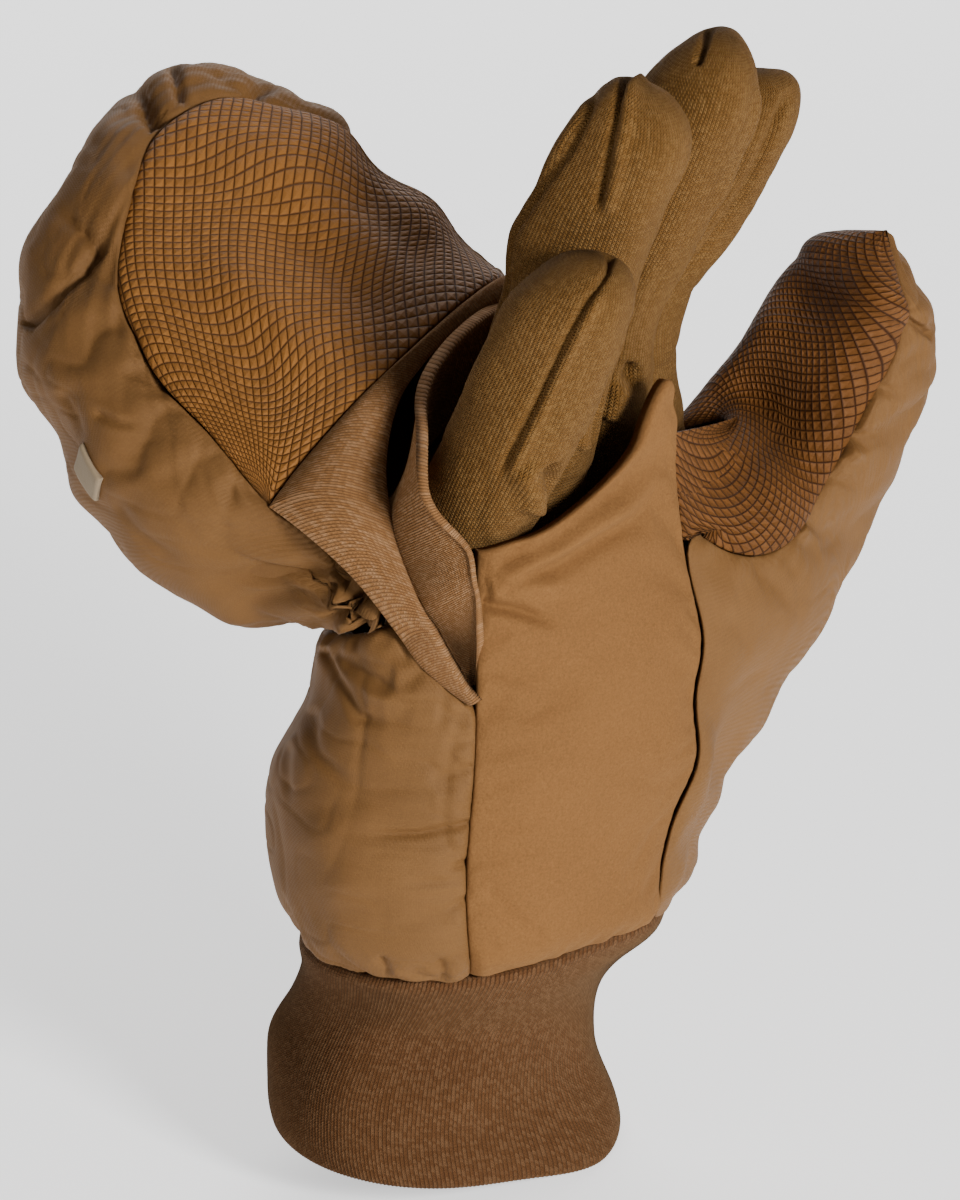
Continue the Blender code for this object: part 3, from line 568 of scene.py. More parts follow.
def finger(row, turn, along, inset):
    """A finger's surface: rounded sections round a curved middle line, closed by a round tip.

    It is slimmer, shallower and squarer at its base, where it sits beside its neighbours.
    """
    long = FINGER_LENGTH * row[4] - inset
    knots = np.array([(0.0, *row[1]), (FINGER_KNUCKLE, *row[2]), (1.0, *row[3])])
    cap = np.clip((along - FINGER_STRAIGHT) / (1.0 - FINGER_STRAIGHT), 0.0, 1.0) * 0.5 * np.pi
    reach = (0.5 * FINGER_DEPTH - inset) / long
    share = np.clip(along / FINGER_STRAIGHT, 0.0, 1.0) * (1.0 - reach) + reach * np.sin(cap)
    middle = through(knots, share)
    based = [1.0 - smooth_step(share / fade) for fade in FINGER_FADES]
    slim = 1.0 - FINGER_SLIM * (based[0] + smooth_step(share))
    tip = smooth_step((share - FINGER_TIP) / (1.0 - FINGER_TIP))
    deep = 1.0 - FINGER_SHALLOW[0] * based[1] - FINGER_SHALLOW[1] * tip
    cosine, sine = rounded(turn, FINGER_SQUARENESS[0] + FINGER_SQUARENESS[1] * based[2])
    x = HAND_WIDTH * middle[..., 0] + (0.5 * FINGER_WIDTH * slim - inset) * cosine * np.cos(cap)
    y = HAND_DEPTH * middle[..., 1] + (0.5 * FINGER_DEPTH * deep - inset) * sine * np.cos(cap)
    z = CUFF_HEIGHT + HAND_HEIGHT * FINGER_BASE + share * long
    return np.stack((x, y, z), axis=-1)


def inside_hand(turn, height, share):
    """Point on the hand's surface moved by a share of the way to the hand's middle."""
    surface = hand(np.radians(turn), height)
    middle = 0.5 * (hand(0.0 * turn, height) + hand(np.pi + 0.0 * turn, height))
    return surface + (middle - surface) * share[..., None]


def lip_chart(u):
    """Chart points of the hood's lip under the band, just past the grip's edge."""
    ends = hood_seam(np.array((0.0, 1.0)), -1.0)
    start, end = np.arctan2(ends[:, 1], ends[:, 0])
    share = np.clip((u - BAND_CORNER) / (1.0 - BAND_CORNER), 0.0, 1.0)
    turn = start + (end - start) * LIP_SHARE * share
    left = 1.0 + 2.5 * SEAM_GAP / HOOD_LENGTH
    return left * np.cos(turn), left * np.sin(turn)


def hood_band(u, v):
    """Band of the hood's lip: u from the palm's side seam up and round, v from seam to edge.

    Straight lines from its seam, which follows the back's edge and then the grip's, to its free
    edge, arched between the two.
    """
    free = at_hand(through(HOOD_BAND_FREE, u))
    turn = BAND_START - (BAND_START - FOLD_START) * np.clip(u / BAND_FOLD, 0.0, 1.0)
    edge = hand(np.radians(turn), through(BACK_TOP, turn)[..., 0] + FOLD_GAP / HAND_HEIGHT)
    share = np.clip((u - BAND_FOLD) / (BAND_CORNER - BAND_FOLD), 0.0, 1.0)[..., None]
    low = edge + (hood(*lip_chart(0.0 * u)) - edge) * share
    low = low + BAND_BOW * share * (1.0 - share)
    seam = np.where((u < BAND_CORNER)[..., None], low, hood(*lip_chart(u)))
    width = np.linalg.norm(free - seam, axis=-1, keepdims=True)
    arch = BAND_ARCH * np.sin(np.pi * v) * smooth_step(u / BAND_ARCH_START)
    return seam + (free - seam) * v[..., None] + BAND_UP * width * arch[..., None]


def opening_band(u, v):
    """Band of the opening behind the fingers: straight lines from its hidden seam to its edge."""
    values = np.moveaxis(through(OPENING_BAND, u), -1, 0)
    low = inside_hand(*values[0:3])
    high = inside_hand(*values[3:6])
    return low + (high - low) * v[..., None]


# Skins and reliefs


def noise(points, size, seed):
    """Smooth noise of about -1 to 1: random values at the corners of cubes, blended between."""
    place = np.asarray(points) / size + 37.13 * seed
    cell = np.floor(place).astype(np.int64)
    part = place - cell
    part = part ** 3 * (part * (part * 6.0 - 15.0) + 10.0)
    total = np.zeros(place.shape[:-1])
    for corner in range(8):
        step = np.array([(corner >> bit) & 1 for bit in range(3)])
        key = (cell + step) * np.array((73856093, 19349663, 83492791))
        key = (key[..., 0] ^ key[..., 1] ^ key[..., 2]) & 0x7FFFFFFF
        key = (key * 1103515245 + 12345 + seed * 7919) & 0x7FFFFFFF
        key = ((key >> 7) ^ key) * 48271 % 2147483647
        weight = np.prod(np.where(step == 1, part, 1.0 - part), axis=-1)
        total += weight * (key / 1073741823.5 - 1.0)
    return total


def creased(points, size, seed):
    """Sharp-bottomed wrinkles: 0 on wide soft ridges and down to -1 along thin lines."""
    return -np.clip(1.0 - np.abs(noise(points, size, seed)) * 3.2, 0.0, 1.0) ** 1.5


def marks(count, low=0.0, high=0.0):
    """Shares 0 to 1, with four extra ones in the first and last given shares for rolled edges."""
    rows = np.linspace(low, 1.0 - high, count)
    near = np.array((0.0, 0.12, 0.33, 0.62))
    if low > 0.0:
        rows = np.concatenate((low * near, rows))
    if high > 0.0:
        rows = np.concatenate((rows, 1.0 - high * near[::-1]))
    return rows


def lay(surface, us, vs, around=False):
    """A surface's grid with its unit normals and its lengths across and along, in metres."""
    u, v = np.meshgrid(us, vs, indexing="ij")
    points = surface(u, v)
    if around:
        wide = np.concatenate((points[-1:], points, points[:1]))
        across_way = wide[2:] - wide[:-2]
    else:
        across_way = np.gradient(points, axis=0)
    along_way = np.gradient(points, axis=1)
    normal = np.cross(across_way, along_way)
    size = np.linalg.norm(normal, axis=-1, keepdims=True)
    weak = size[..., 0] < 1e-4 * size.max()
    normal = normal / np.maximum(size, 1e-15)
    for _ in range(3):
        filled = normal.copy()
        filled[:, 1:] += normal[:, :-1]
        filled[:, :-1] += normal[:, 1:]
        filled[1:] += normal[:-1]
        filled[:-1] += normal[1:]
        normal = np.where(weak[..., None], filled, normal)
        normal /= np.maximum(np.linalg.norm(normal, axis=-1, keepdims=True), 1e-15)
    steps_u = np.linalg.norm(np.diff(points, axis=0), axis=-1)
    steps_v = np.linalg.norm(np.diff(points, axis=1), axis=-1)
    across = np.concatenate((np.zeros((1, points.shape[1])), np.cumsum(steps_u, axis=0)))
    along = np.concatenate((np.zeros((points.shape[0], 1)), np.cumsum(steps_v, axis=1)), axis=1)
    return SimpleNamespace(
        u=u, v=v, points=points, normal=normal, across=across, along=along, around=around
    )


def turned_out(skin, lining):
    """Turns the normals away from the lining, a grid with every second point."""
    way = skin.points[::2, ::2] - lining
    if np.sum(way * skin.normal[::2, ::2]) < 0.0:
        skin.normal = -skin.normal


def edge_ways(skin):
    """Distance from each point to the four edges, and how far along that edge it lies."""
    left = (skin.across, skin.along)
    right = (skin.across[-1:] - skin.across, skin.along)
    low = (skin.along, skin.across)
    high = (skin.along[:, -1:] - skin.along, skin.across)
    return {"left": left, "right": right, "low": low, "high": high}


def rolled(distance, reach, depth):
    """A rounded shoulder: 0 beyond its reach, then a quarter round down to its depth."""
    share = np.clip(1.0 - distance / reach, 0.0, 1.0)
    return -depth * (1.0 - np.sqrt(np.maximum(1.0 - share * share, 0.0)))


def puckers(distance, way, pitch, reach, height, seed):
    """Small folds square to a seam, highest a little beside it and fading away from it."""
    flat = np.stack((way / pitch, distance / (pitch * 4.5), 0.0 * way), axis=-1)
    wave = noise(flat, 0.55, seed) + 0.5 * noise(flat, 1.3, seed + 1)
    fade = np.exp(-distance / reach) * smooth_step(distance / (0.25 * reach) + 0.25)
    return height * wave * fade


# The view that creases are drawn in: its directions right, up and to the viewer, the place of
# the origin in the drawing, one drawing unit in metres, and how strongly lines are drawn
VIEW_RIGHT = np.array((0.5736, -0.8192, 0.0))
VIEW_UP = np.array((0.3069, 0.2149, 0.9272))
VIEW_BACK = np.array((-0.7596, -0.5318, 0.3746))
DRAWN_LEFT = 441.0
DRAWN_TOP = 1112.0
DRAWN_SCALE = 0.195e-3
STROKE_STRENGTH = 1.3


def drawn(points):
    """Drawing coordinates of points: right and down, one unit is 0.195 mm."""
    right = DRAWN_LEFT + points @ VIEW_RIGHT / DRAWN_SCALE
    down = DRAWN_TOP - points @ VIEW_UP / DRAWN_SCALE
    return np.stack((right, down), axis=-1)


def pulled(points, pulls):
    """Points moved in the drawing.

    A pull is (place, shift, reach) in drawing units: it moves the points near its place by its
    shift right, down and forward, fading as a bell over its reach.
    """
    flat = drawn(points)
    moved = np.array(points)
    for place, shift, reach in pulls:
        weight = np.exp(-np.sum((flat - place) ** 2, axis=-1) / reach ** 2)
        way = VIEW_RIGHT * shift[0] - VIEW_UP * shift[1] + VIEW_BACK * shift[2]
        moved += weight[..., None] * way * DRAWN_SCALE
    return moved


def strokes(skin, lines):
    """Creases and ridges along drawn lines.

    A line is (height in mm, half width, taper, points): its profile is a soft bell across it, and
    it fades at its start and end as taper says. Only surfaces that face the view are marked.
    """
    flat = drawn(skin.points)
    facing = smooth_step((skin.normal @ VIEW_BACK + 0.05) / 0.3)
    total = np.zeros(flat.shape[:-1])
    for height, width, taper, points in lines:
        points = np.array(points, dtype=float)
        lengths = np.linalg.norm(np.diff(points, axis=0), axis=1)
        starts = np.concatenate(((0.0,), np.cumsum(lengths)))
        nearest = np.full(flat.shape[:-1], 1e9)
        where = np.zeros(flat.shape[:-1])
        for index in range(len(lengths)):
            way = (points[index + 1] - points[index]) / lengths[index]
            offset = flat - points[index]
            share = np.clip(offset @ way, 0.0, lengths[index])
            gap = np.linalg.norm(offset - share[..., None] * way, axis=-1)
            closer = gap < nearest
            nearest = np.where(closer, gap, nearest)
            where = np.where(closer, starts[index] + share, where)
        share = where / starts[-1]
        fade = smooth_step(share / taper[0]) * smooth_step((1.0 - share) / taper[1])
        total += STROKE_STRENGTH * (height * MM) * np.exp(-((nearest / width) ** 2)) * fade
    return total * facing


# Pulls on all pieces, those on the hood's shell, and those on one piece alone
PULLS = [
    ((935, 283), (-16, 0, 0), 34),
    ((935, 395), (10, 0, 0), 42),
    ((795, 690), (-28, 0, 0), 50),
    ((760, 765), (-44, 0, 0), 48),
    ((735, 835), (-26, 0, 0), 38),
    ((690, 640), (12, 0, 0), 48),
    ((690, 760), (20, 0, 0), 48),
    ((745, 340), (8, 0, 0), 50),
    ((795, 290), (0, 0, -80), 55),
    ((755, 395), (0, 0, -80), 55),
    ((722, 470), (0, 0, -36), 42),
    ((648, 945), (22, 0, 0), 42),
    ((608, 1115), (10, 2, 0), 50),
    ((585, 1165), (20, 12, 0), 50),
    ((275, 1012), (-11, 0, 0), 45),
]
HOOD_PULLS = [
    ((307, 551), (24, -4, 0), 30),
    ((345, 588), (22, -4, 0), 26),
    ((85, 150), (6, 6, 0), 45),
    ((45, 190), (16, 4, 0), 50),
    ((5, 320), (12, 0, 0), 60),
    ((25, 460), (34, -14, 0), 60),
    ((85, 545), (16, -10, 0), 45),
    ((240, 615), (0, 14, 0), 50),
    ((335, 135), (17, -10, 0), 50),
    ((415, 215), (16, -12, 0), 45),
]
OWN_PULLS = {
    "hood_shell": HOOD_PULLS,
    "hood_grip": [((335, 135), (17, -10, 0), 50), ((415, 215), (16, -12, 0), 45)],
    "opening_rib_band": [
        ((486, 640), (9, 0, 0), 70), ((425, 480), (0, 0, 42), 60), ((440, 570), (0, 0, 25), 40),
    ],
    "back_shell": [
        ((295, 690), (22, 0, 0), 55), ((255, 860), (16, 0, 0), 65), ((285, 935), (10, 0, 0), 40),
    ],
    "palm_panel": [((650, 395), (16, -20, 0), 40)],
    "glove_index_finger": [((700, 330), (-34, 0, 0), 75), ((785, 80), (12, -6, 0), 35)],
    "glove_middle_finger": [((715, 50), (8, -16, 0), 48), ((690, 330), (-20, 0, 0), 60)],
    "glove_ring_finger": [((628, 90), (-12, -14, 0), 42), ((520, 235), (-16, 0, 0), 48)],
}


def wall_mesh(name, skin, outer, lining, shut=False):
    """A closed body between a dense skin and a lining with every second of its points."""
    columns, rows = outer.shape[:2]
    fine = np.arange(columns * rows).reshape(columns, rows)
    coarse = columns * rows + np.arange(lining.shape[0] * lining.shape[1]).reshape(lining.shape[:2])
    if skin.around:
        fine = np.concatenate((fine, fine[:1]))
        coarse = np.concatenate((coarse, coarse[:1]))

    def quads(index, turned):
        corners = (index[:-1, :-1], index[1:, :-1], index[1:, 1:], index[:-1, 1:])
        face = np.stack([corner.ravel() for corner in corners], axis=1)
        return face[:, ::-1] if turned else face

    def rim(edge, under, turned):
        face = np.stack((edge[:-2:2], edge[1:-1:2], edge[2::2], under[1:], under[:-1]), axis=1)
        return face[:, ::-1] if turned else face

    fours = np.concatenate((quads(fine, False), quads(coarse, True)))
    fives = [rim(fine[:, 0], coarse[:, 0], True)]
    if not shut:
        fives.append(rim(fine[:, -1], coarse[:, -1], False))
    if not skin.around:
        fives.append(rim(fine[0], coarse[0], False))
        fives.append(rim(fine[-1], coarse[-1], True))
    fives = np.concatenate(fives)
    points = np.concatenate((outer.reshape(-1, 3), lining.reshape(-1, 3)))
    corners = np.concatenate((fours.ravel(), fives.ravel()))
    totals = np.concatenate((np.full(len(fours), 4), np.full(len(fives), 5)))
    data = bpy.data.meshes.new(name)
    data.vertices.add(len(points))
    data.vertices.foreach_set("co", points.astype(np.float32).ravel())
    data.loops.add(len(corners))
    data.loops.foreach_set("vertex_index", corners.astype(np.int32))
    data.polygons.add(len(totals))
    starts = np.concatenate(((0,), np.cumsum(totals)[:-1]))
    data.polygons.foreach_set("loop_start", starts.astype(np.int32))
    data.update(calc_edges=True)
    return data, fours, fives


def cloth_piece(node, skin, lining, relief, material, shut=False, uv=None, follow=1.0):
    """Build, paint and place one cloth piece that stands for a node, and hide the node's part.

    uv is a grid of lengths across and along, with one more column if the piece runs around.
    follow is how much of the relief the lining takes. The skin keeps its final points as outer.
    """
    turned_out(skin, lining)
    outer = skin.points + skin.normal * relief[..., None]
    lining = lining + skin.normal[::2, ::2] * (follow * relief[::2, ::2])[..., None]
    pulls = PULLS + OWN_PULLS.get(node, [])
    outer, lining = pulled(outer, pulls), pulled(lining, pulls)
    skin.outer = outer
    data, fours, fives = wall_mesh(node, skin, outer, lining, shut)
    if uv is None:
        middle = skin.across[skin.across.shape[0] // 2]
        uv = np.stack((skin.across - middle, skin.along), axis=-1)
    columns, rows = skin.points.shape[:2]
    fine_faces = (uv.shape[0] - 1) * (rows - 1)
    u_index, v_index = np.meshgrid(np.arange(uv.shape[0] - 1), np.arange(rows - 1), indexing="ij")
    pairs = ((0, 0), (1, 0), (1, 1), (0, 1))
    fine_uv = np.stack([uv[u_index + a, v_index + b] for a, b in pairs], axis=2).reshape(fine_faces, 4, 2)
    flat_uv = uv[:columns].reshape(-1, 2)
    lining_uv = uv[:columns][::2, ::2].reshape(-1, 2)
    by_point = np.concatenate((flat_uv, lining_uv))
    rest = by_point[fours[fine_faces:].ravel()]
    rims = by_point[fives.ravel()]
    everything = np.concatenate((fine_uv.reshape(-1, 2), rest, rims))
    layer = data.uv_layers.new(name="UVMap")
    layer.data.foreach_set("uv", everything.astype(np.float32).ravel())
    mesh = bmesh.new()
    mesh.from_mesh(data)
    bmesh.ops.remove_doubles(mesh, verts=mesh.verts, dist=3e-6)
    bmesh.ops.recalc_face_normals(mesh, faces=mesh.faces)
    mesh.to_mesh(data)
    mesh.free()
    data.shade_smooth()
    piece = bpy.data.objects.new(node + "_cloth", data)
    bpy.context.scene.collection.objects.link(piece)
    data.materials.append(material)
    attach(piece, "root")
    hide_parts(node)
    return piece


def every_second(us, vs):
    """Shares of the lining's grid."""
    return np.meshgrid(us[::2], vs[::2], indexing="ij")


def wall(surface, us, vs, depth, around=False):
    """Skin of a surface, and its lining moved in by a depth."""
    return lay(surface, us, vs, around), moved_in(surface, *every_second(us, vs), depth)[1]


# Materials


class Graph:
    """Short ways to add and join shader nodes in one tree."""

    def __init__(self, tree):
        self.tree = tree

    def add(self, kind, inputs=(), **settings):
        """A node with its settings, and its inputs by name as (name, value or socket)."""
        node = self.tree.nodes.new(kind)
        for key, value in settings.items():
            setattr(node, key, value)
        for key, value in inputs:
            self.put(node.inputs[key], value)
        return node

    def put(self, socket, value):
        """Links a socket, or sets a plain value."""
        if isinstance(value, bpy.types.NodeSocket):
            self.tree.links.new(value, socket)
        else:
            socket.default_value = value

    def math(self, operation, *values):
        """One operation on one to three values."""
        node = self.tree.nodes.new("ShaderNodeMath")
        node.operation = operation
        for socket, value in zip(node.inputs, values):
            self.put(socket, value)
        return node.outputs[0]

    def plus(self, first, second):
        """The sum of two values."""
        return self.math("ADD", first, second)

    def minus(self, first, second):
        """The first value less the second."""
        return self.math("SUBTRACT", first, second)

    def times(self, first, second):
        """The product of two values."""
        return self.math("MULTIPLY", first, second)

    def over(self, first, second):
        """The first value divided by the second."""
        return self.math("DIVIDE", first, second)

    def line(self, value, slope, start):
        """A value times a slope, plus a start."""
        return self.math("MULTIPLY_ADD", value, slope, start)

    def whole(self, value):
        """The whole number at or below a value."""
        return self.math("FLOOR", value)

    def part(self, value):
        """What a value is above its whole number."""
        return self.math("FRACT", value)

    def blend(self, share, first, second):
        """Two colours mixed by a share."""
        node = self.add("ShaderNodeMix", data_type="RGBA")
        for index, value in ((0, share), (6, first), (7, second)):
            self.put(node.inputs[index], value)
        return node.outputs[2]

    def shade(self, colour, value):
        """A colour made lighter or darker: 1 leaves it as it is."""
        return self.add("ShaderNodeHueSaturation", (("Color", colour), ("Value", value))).outputs[0]

    def ease(self, value, low, high):
        """0 at low and 1 at high, with an even S between."""
        inputs = (("Value", value), ("From Min", low), ("From Max", high))
        return self.add("ShaderNodeMapRange", inputs, interpolation_type="SMOOTHSTEP").outputs[0]

    def noise(self, vector, scale, detail=2.0, rough=0.5):
        """Noise of 0 to 1 on coordinates."""
        inputs = (("Vector", vector), ("Scale", scale), ("Detail", detail), ("Roughness", rough))
        return self.add("ShaderNodeTexNoise", inputs).outputs[0]

    def random(self, first, second):
        """One random value of 0 to 1 for each pair of whole numbers."""
        both = self.add("ShaderNodeCombineXYZ", (("X", first), ("Y", second))).outputs[0]
        node = self.add("ShaderNodeTexWhiteNoise", (("Vector", both),), noise_dimensions="3D")
        return node.outputs["Value"]

    def wave(self, value):
        """0 to 1 and back once for each whole number."""
        return self.line(self.math("COSINE", self.times(value, 2.0 * np.pi)), 0.5, 0.5)

    def place(self):
        """Coordinates on the object, in metres."""
        return self.add("ShaderNodeTexCoord").outputs["Object"]

    def lengths(self):
        """The piece's own UV map, and from it the lengths across and along the cloth in metres."""
        uv = self.add("ShaderNodeUVMap", uv_map="UVMap").outputs[0]
        parts = self.add("ShaderNodeSeparateXYZ", (("Vector", uv),))
        return uv, parts.outputs[0], parts.outputs[1]


def new_group(name, inputs, outputs):
    """An empty shader group: its graph, its input sockets by name and its output sockets."""
    tree = bpy.data.node_groups.new(name, "ShaderNodeTree")
    for key, value in inputs.items():
        kind = "NodeSocketColor" if key == "Colour" else "NodeSocketFloat"
        socket = tree.interface.new_socket(name=key, in_out="INPUT", socket_type=kind)
        socket.default_value = value
    for key in outputs:
        kind = "NodeSocketColor" if key == "Colour" else "NodeSocketFloat"
        tree.interface.new_socket(name=key, in_out="OUTPUT", socket_type=kind)
    graph = Graph(tree)
    return graph, graph.add("NodeGroupInput").outputs, graph.add("NodeGroupOutput").inputs


def knit_group():
    """Rows of V stitches: each wale is a rounded column, and each stitch a tilted pair of legs."""
    given = {"Wale": 1.0 * MM, "Course": 0.8 * MM, "Slant": 0.6, "Rib": 0.5}
    graph, given, end = new_group("knit stitches", given, ("Height", "Groove shade", "Fleck"))
    _, across, along = graph.lengths()
    column = graph.over(across, given["Wale"])
    aside = graph.times(graph.math("ABSOLUTE", graph.minus(graph.part(column), 0.5)), 2.0)
    row = graph.plus(graph.over(along, given["Course"]), graph.times(aside, given["Slant"]))
    wale = graph.minus(1.0, graph.math("POWER", aside, 2.5))
    leg = graph.line(graph.wave(row), graph.minus(1.0, given["Rib"]), given["Rib"])
    graph.put(end["Height"], graph.times(wale, leg))
    # A mask that is highest in the groove between wales; it is used for painted shade
    graph.put(end["Groove shade"], graph.math("POWER", aside, 3.0))
    graph.put(end["Fleck"], graph.random(graph.whole(column), graph.whole(row)))
    return graph.tree


def weave_group():
    """Plain weave: crossing threads that take turns on top, each a little lighter or darker."""
    graph, given, end = new_group("plain weave", {"Thread": 0.4 * MM}, ("Height", "Tone"))
    _, across, along = graph.lengths()
    first = graph.over(across, given["Thread"])
    second = graph.over(along, given["Thread"])
    column = graph.whole(first)
    row = graph.whole(second)
    warp = graph.math("MODULO", graph.math("ABSOLUTE", graph.plus(column, row)), 2.0)
    weft = graph.minus(1.0, warp)
    warp_round = graph.math("SINE", graph.times(graph.part(first), np.pi))
    weft_round = graph.math("SINE", graph.times(graph.part(second), np.pi))
    height = graph.plus(graph.times(warp, warp_round), graph.times(weft, weft_round))
    graph.put(end["Height"], height)
    warp_tone = graph.times(warp, graph.random(column, 3.0))
    graph.put(end["Tone"], graph.plus(warp_tone, graph.times(weft, graph.random(row, 7.0))))
    return graph.tree


def scale_group():
    """The grip's net: two families of slanting lines round raised cells, bent by soft noise."""
    given = {"Width": SCALE_WIDTH, "Length": SCALE_LENGTH, "Bend": SCALE_BEND, "Line": 0.16}
    graph, given, end = new_group("grip scales", given, ("Top", "Height", "Tone"))
    uv, across, along = graph.lengths()
    drift = graph.minus(graph.noise(uv, SCALE_BEND_NOISE, 0.0), 0.5)
    drift = graph.times(graph.times(drift, given["Bend"]), 4.0)
    first = graph.over(graph.plus(across, drift), given["Width"])
    second = graph.over(graph.plus(along, drift), given["Length"])
    rising = graph.plus(first, second)
    falling = graph.minus(second, first)
    edges = []
    for value in (rising, falling):
        inside = graph.part(value)
        edges.append(graph.math("MINIMUM", inside, graph.minus(1.0, inside)))
    edge = graph.math("MINIMUM", *edges)
    graph.put(end["Top"], graph.ease(edge, 0.02, given["Line"]))
    graph.put(end["Height"], graph.math("POWER", graph.times(edge, 2.0), 0.5))
    graph.put(end["Tone"], graph.random(graph.whole(rising), graph.whole(falling)))
    return graph.tree


def dye_group():
    """Uneven dye: a colour made lighter and darker by broad and fine noise on the object."""
    given = {"Colour": (0.3, 0.2, 0.1, 1.0), "Broad": 0.2, "Fine": 0.15, "Size": 40.0}
    graph, given, end = new_group("uneven dye", given, ("Colour", "Grain"))
    place = graph.place()
    broad = graph.minus(graph.noise(place, given["Size"], 3.0), 0.5)
    fine = graph.minus(graph.noise(place, FINE_GRAIN, 2.0, 0.7), 0.5)
    change = graph.plus(graph.times(broad, given["Broad"]), graph.times(fine, given["Fine"]))
    graph.put(end["Colour"], graph.shade(given["Colour"], graph.line(change, 2.0, 1.0)))
    graph.put(end["Grain"], fine)
    return graph.tree


# Colours of the cloths, as light that they send back in red, green and blue
WOVEN = (0.150, 0.071, 0.022)
PALM = (0.165, 0.077, 0.026)
GRIP_TOP = (0.230, 0.094, 0.021)
GRIP_NET = (0.080, 0.029, 0.006)
# The thumb grip's colours are the grip's colours made darker. This is partly the thumb grip's own darker
# tone and partly painted shade on its inner side
SHADED_THUMB_GRIP_TOP = (0.120, 0.046, 0.011)
SHADED_THUMB_GRIP_NET = (0.036, 0.012, 0.003)
RIB = (0.080, 0.033, 0.011)
RIB_LIGHT = (0.200, 0.112, 0.055)
BAND = (0.240, 0.112, 0.041)
BAND_LIGHT = (0.480, 0.290, 0.160)
KNIT = (0.148, 0.068, 0.015)
KNIT_LIGHT = (0.250, 0.135, 0.042)
TAB = (0.230, 0.168, 0.100)
# Size of the grip's cells, how far its lines bend and how many bends there are in a metre
SCALE_WIDTH = 3.6 * MM
SCALE_LENGTH = 2.4 * MM
SCALE_BEND = 3.4 * MM
SCALE_BEND_NOISE = 30.0
THUMB_SCALES = 0.74
# Grains in a metre: of the dye and of the palm's nap
FINE_GRAIN = 2600.0
NAP_GRAIN = 1500.0
# Distance between the weave's threads, and height of the bumps of each cloth
THREAD = 0.46 * MM
WEAVE_BUMP = 0.04 * MM
NAP_BUMP = 0.22 * MM
SCALE_BUMP = 0.45 * MM
TAB_BUMP = 0.08 * MM
# Knits: width and length of a stitch, how much of a wale has no stitch in it, share of light
# flecks, height of the bumps, how dark the painted shade in the grooves is
BAND_STITCH = (1.0 * MM, 0.62 * MM, 0.55, 0.30, 0.25 * MM, 0.45)
RIB_STITCH = (1.0 * MM, 0.62 * MM, 0.55, 0.24, 0.25 * MM, 0.45)
GLOVE_STITCH = (0.80 * MM, 0.66 * MM, 0.10, 0.45, 0.40 * MM, 0.22)

GROUPS = {"knit": knit_group(), "weave": weave_group(), "scales": scale_group(), "dye": dye_group()}


def use(graph, group, **values):
    """A group placed in a material with its own values."""
    node = graph.add("ShaderNodeGroup", node_tree=GROUPS[group])
    for key, value in values.items():
        graph.put(node.inputs[key], value)
    return node.outputs


def dyed(graph, colour, broad, fine, size):
    """A material's colour with uneven dye, and the dye's grain."""
    return use(graph, "dye", Colour=(*colour, 1.0), Broad=broad, Fine=fine, Size=size)


def surface_of(name, roughness, sheen, sheen_tint, specular):
    """A cloth material with an empty graph round its shader."""
    material = bpy.data.materials.new(name)
    material.use_nodes = True
    shader = material.node_tree.nodes["Principled BSDF"]
    shader.inputs["Roughness"].default_value = roughness
    shader.inputs["Sheen Weight"].default_value = sheen
    shader.inputs["Sheen Tint"].default_value = (*sheen_tint, 1.0)
    shader.inputs["Sheen Roughness"].default_value = 0.5
    shader.inputs["Specular IOR Level"].default_value = specular
    return material, Graph(material.node_tree), shader


def finish_cloth(graph, shader, colour, height, distance):
    """Joins a colour to the shader, and a bump of that real height."""
    graph.put(shader.inputs["Base Color"], colour)
    bump = graph.add("ShaderNodeBump", (("Height", height), ("Distance", distance), ("Strength", 1.0)))
    graph.put(shader.inputs["Normal"], bump.outputs[0])


def woven_material():
    """Plain-woven shell cloth with a slight sheen."""
    material, graph, shader = surface_of(
        "woven_shell", roughness=0.66, sheen=0.04, sheen_tint=(0.8, 0.45, 0.18), specular=0.14
    )
    dye = dyed(graph, WOVEN, broad=0.16, fine=0.22, size=55.0)
    weave = use(graph, "weave", Thread=THREAD)
    # Each thread's own random tone, and painted shade where the threads dip
    thread_tone_and_shade = graph.times(graph.line(weave["Tone"], 0.06, 0.97), graph.line(weave["Height"], 0.07, 0.95))
    finish_cloth(graph, shader, graph.shade(dye["Colour"], thread_tone_and_shade), weave["Height"], WEAVE_BUMP)
    return material


def brushed_material():
    """Brushed palm cloth: short nap with fine grains."""
    material, graph, shader = surface_of(
        "brushed_palm", roughness=0.9, sheen=0.08, sheen_tint=(0.9, 0.5, 0.2), specular=0.06
    )
    dye = dyed(graph, PALM, broad=0.12, fine=0.30, size=45.0)
    nap = graph.noise(graph.place(), NAP_GRAIN, 3.0, 0.65)
    colour = graph.shade(dye["Colour"], graph.line(nap, 0.5, 0.75))
    finish_cloth(graph, shader, colour, nap, NAP_BUMP)
    return material


def grip_material(name, top, net, scale):
    """Grip cloth: tan raised cells in a dark net."""
    material, graph, shader = surface_of(
        name, roughness=0.62, sheen=0.02, sheen_tint=(0.9, 0.45, 0.15), specular=0.12
    )
    dye = dyed(graph, top, broad=0.18, fine=0.16, size=60.0)
    width, length = scale * SCALE_WIDTH, scale * SCALE_LENGTH
    scales = use(graph, "scales", Width=width, Length=length, Bend=SCALE_BEND, Line=0.15)
    tops = graph.shade(dye["Colour"], graph.line(scales["Tone"], 0.25, 0.87))
    colour = graph.blend(scales["Top"], (*net, 1.0), tops)
    height = graph.plus(scales["Height"], graph.times(dye["Grain"], 0.3))
    finish_cloth(graph, shader, colour, height, SCALE_BUMP)
    return material


